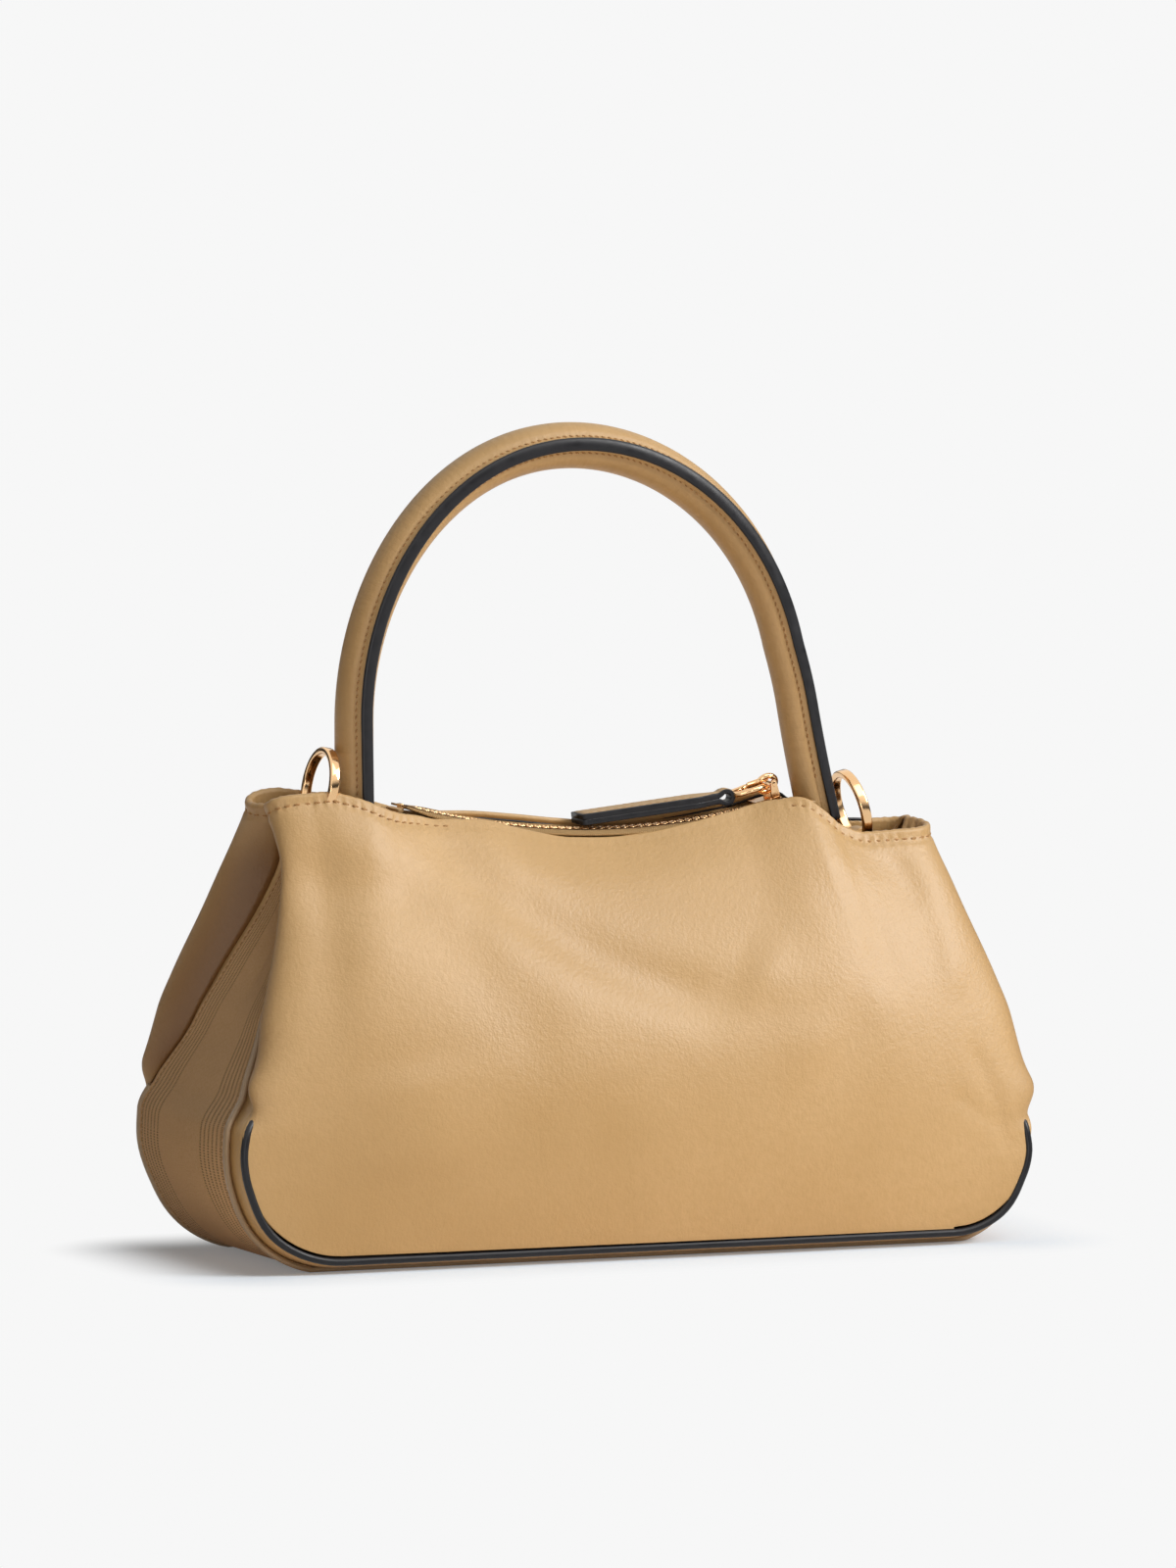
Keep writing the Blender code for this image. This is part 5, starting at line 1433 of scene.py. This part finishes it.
# %% Folded straps
TAB_LENGTH = 0.0487
TAB_WIDTH = 0.0098
TAB_THICKNESS = 0.0034
TAB_NECK = 0.0046
TAB_SHOULDER = 0.0085
TAB_BORE = 0.00125
TAB_WALL = 0.0013
TAB_SPLIT = 0.0028
TAB_TRIM = 0.0011
TAB_PAINT_PROUD = 1.06
TAB_PAINT_CORNER = 0.00025
TAB_LEATHER_SHORT = 0.0006
TAB_LEATHER_THICK = 0.9
TAB_LEATHER_CORNER = 0.0003
TAB_LEATHER_LIFT = 0.00022
TAB_THREAD_LIFT = 0.00006
TAB_STITCH = 0.0027
TAB_THREAD = 0.0005
TAB_STITCH_INSET = 0.0017
TAB_HEADING = math.pi + math.radians(5.8)
RING_TAB_WIDTH = 0.0070
RING_TAB_BORE = 0.0028
RING_TAB_WALL = 0.0012
RING_LOOP_WALL = 0.0019
OPEN_TURN = math.radians(74)


def folded_path(length, layer, bore, wall, split):
    """Side view of a folded strip's middle line, as (along, up) from the eye, and its thickness."""
    radius = bore + wall / 2
    start, rise = radius * math.cos(OPEN_TURN), radius * math.sin(OPEN_TURN)
    a = np.concatenate([np.linspace(length, start + split, 26)[:-1], np.linspace(start + split, start, 14)])
    b = layer / 2 + (rise - layer / 2) * (1 - ease(start, start + split, a)) ** 1.4
    lower = np.stack([a, -b], 1)
    turns = np.linspace(-OPEN_TURN, -2 * math.pi + OPEN_TURN, 30)[1:-1]
    bend = radius * np.stack([np.cos(turns), np.sin(turns)], 1)
    path = np.concatenate([lower, bend, (lower * [1, -1])[::-1]])
    return path, layer + (wall - layer) * (1 - ease(start, start + split, path[:, 0]))


def folded_strap(name, eye, angle, path, thick, width_at, corner, mat, lift=0.0):
    """Sweeps a flat section along a folded path. The ends are rounded off."""
    along = unit(np.gradient(path, axis=0))
    out = np.stack([along[:, 1], -along[:, 0]], 1)
    if out[0, 1] > 0:
        out = -out
    axes = np.array([heading(angle), heading(angle + math.pi / 2)])
    run = run_along(path)
    rings = []
    for point, way, t, d in zip(path, out, thick, np.minimum(run, run[-1] - run)):
        bite = corner - math.sqrt(max(0.0, corner**2 - (corner - min(d, corner)) ** 2))
        shrink = 1.6 * bite
        section = rounded(width_at(point[0]) - shrink, t - shrink * 0.5, min(corner, t / 2.2))
        rings.append([eye + (point + (lift + h) * way) @ axes + w * TO_BACK for w, h in section])
    return lay_grid(name, rings, mat, closed=True, caps=True)


def tab_width(a, trim=0.0):
    low = TAB_BORE + TAB_WALL
    return TAB_NECK + (TAB_WIDTH - TAB_NECK) * float(ease(low, low + TAB_SHOULDER, a)) - trim


def tab_path(length):
    return folded_path(length, TAB_THICKNESS / 2, TAB_BORE, TAB_WALL, TAB_SPLIT)


path, thick = tab_path(TAB_LENGTH)
tab_paint = folded_strap("tab_paint", tab_eye, TAB_HEADING, path, thick * TAB_PAINT_PROUD, tab_width,
                         TAB_PAINT_CORNER, painted)
dress(tab_paint, "tab", "painted_edge")
path, thick = tab_path(TAB_LENGTH - TAB_LEATHER_SHORT)
tab_leather = folded_strap("tab_leather", tab_eye, TAB_HEADING, path, thick * TAB_LEATHER_THICK,
                           lambda a: tab_width(a, TAB_TRIM), TAB_LEATHER_CORNER, tan_leather,
                           lift=TAB_LEATHER_LIFT)
dress(tab_leather, "tab", "leather", "pull_tab")
tab_up = heading(TAB_HEADING - math.pi / 2)
along = np.linspace(0.011, TAB_LENGTH - 0.002, 60)
inset = np.array([tab_width(a) / 2 - TAB_STITCH_INSET for a in along])
for face, way in (("top", tab_up), ("under", -tab_up)):
    for side, y in (("front", -1), ("back", 1)):
        path = tab_eye + np.outer(along, heading(TAB_HEADING)) + np.outer(y * inset, TO_BACK)
        path += way * (TAB_THICKNESS / 2 + TAB_THREAD_LIFT)
        sew(f"tab_stitches_{face}_{side}", path, way, TAB_STITCH, "tab", "leather", TAB_THREAD)
for name, x, z, lean, floor_z in RINGS:
    path, thick = folded_path(z - floor_z - CLEARANCE, RING_TAB_WALL, RING_TAB_BORE, RING_LOOP_WALL, 0.003)
    loop = folded_strap(f"ring_loop_{name}", np.array([x, 0, z]), -math.pi / 2, path, thick,
                        lambda a: RING_TAB_WIDTH, 0.00035, tan_leather)
    dress(loop, "bag", "leather", f"ring_tab_{name}")

# %% [markdown]
# Inside hangs a cloth bag, open along the zip, over a stiff board. The lining is rings of points from
# the board up to the tapes, narrower at the neck, and the cord core fills the rolled handle.

# %% Lining, board and core
LINING = 0.0008
LINING_GAP = 0.0035
LINING_NECK = 2 * (HANDLE_LEG_X - 0.0165)
LINING_FLOOR_GAP = 0.0011
BOARD_THICKNESS = 0.0016
SLIDER_PLATE = 0.0009
FLOOR_STEPS = (0.02, 0.25, 0.5, 0.75, 0.93)
HANDLE_WALL = 0.0015


def lining_cloth():
    """Dark brown twill."""
    made, tree, shader = finish("lining cloth", (0.115, 0.08, 0.055), 0.88)
    drift = texture(tree, "Noise", 60.0, 3.0)
    feed(tree, shader, {"Base Color": blend_colours(tree, drift, (0.10, 0.068, 0.045), (0.14, 0.10, 0.07))})
    bump(tree, shader, texture(tree, "Wave", 480.0, bands_direction="DIAGONAL"), 0.00015, 0.7)
    return made


def lining_rings(rows, columns):
    """Rings from the lining's floor to its rim under the zip."""
    start = SEAM_Z - BASE_SAG + LEATHER + 2 * CLEARANCE + BOARD_THICKNESS + LINING_FLOOR_GAP
    turns = 2 * math.pi * np.arange(columns) / columns
    c, s = np.cos(turns), np.sin(turns)
    ends = np.where(c >= 0, 1, -1)
    rings = []
    for share in np.linspace(0, 1, rows) ** 1.15:
        level = start + share * (ZIP_LOW_Z - start)
        v = (level - SEAM_Z) / (ZIP_LOW_Z - SEAM_Z)
        inner = half_length(ends, level) - front_skew(ends, v) - LEATHER - 2 * LINING_GAP
        inner = inner - GUSSET_TUCK * table(HEIGHT_AT, TUCK, v) - GUSSET_VALLEY * table(HEIGHT_AT, VALLEY, v)
        narrow = float(ease(0.42, 0.66, share))
        x = (inner * (1 - narrow) + LINING_NECK / 2 * narrow) * np.sign(c) * abs(c) ** 0.5
        y = (half_depth(0.0, v) - LINING_GAP) * np.sign(s) * abs(s) ** 0.5
        rim = zip_height(x) - TOOTH_HEIGHT / 2 - SLIDER_PLATE - 4 * CLEARANCE
        rings.append(np.stack([x, y, start + share * (rim - start)], 1))
    return np.array(rings)


rings = lining_rings(60, 120)
floor_middle = rings[0].mean(0)
floor_rings = [floor_middle + (rings[0] - floor_middle) * k for k in FLOOR_STEPS]
lining = lay_grid("lining_bag", np.concatenate([floor_rings, rings]), lining_cloth(), closed=True)
deselect()
lining.select_set(True)
bpy.ops.object.mode_set(mode="EDIT")
bpy.ops.mesh.select_all(action="DESELECT")
leave_edit()
for vert in lining.data.vertices:
    away = abs(np.array(vert.co) - floor_middle)
    vert.select = bool(away[2] < 1e-4 and max(away[:2]) < 0.004)
bpy.ops.object.mode_set(mode="EDIT")
bpy.ops.mesh.merge(type="CENTER")
bpy.ops.mesh.select_all(action="SELECT")
leave_edit(outward=True)
dress(thicken(lining, LINING), "bag", "lining", "lining")
card = patterned("base card", (0.22, 0.17, 0.12), 0.85, "Noise", 500.0,
                 ((0.18, 0.135, 0.09), (0.27, 0.21, 0.15)), 0.00012, 0.5, detail=4.0, stretch=(1.0, 0.3, 1.0))
refine("base_board", "bottom_board", card, "bag", "board", 0.0003)


def core_shape(radius, turn):
    radius -= HANDLE_WALL + CLEARANCE
    return radius * math.cos(turn), radius * math.sin(turn)


core_yarn = patterned("core yarn", (0.60, 0.55, 0.45), 0.92, "Wave", 260.0,
                      ((0.48, 0.43, 0.34), (0.66, 0.61, 0.51)), 0.0004, 0.6, bands_direction="DIAGONAL")
core = lay_grid("cord_core", handle_rings(core_shape, 20), core_yarn, closed=True, caps=True)
dress(core, "handle", "core_cord", "handle_core")
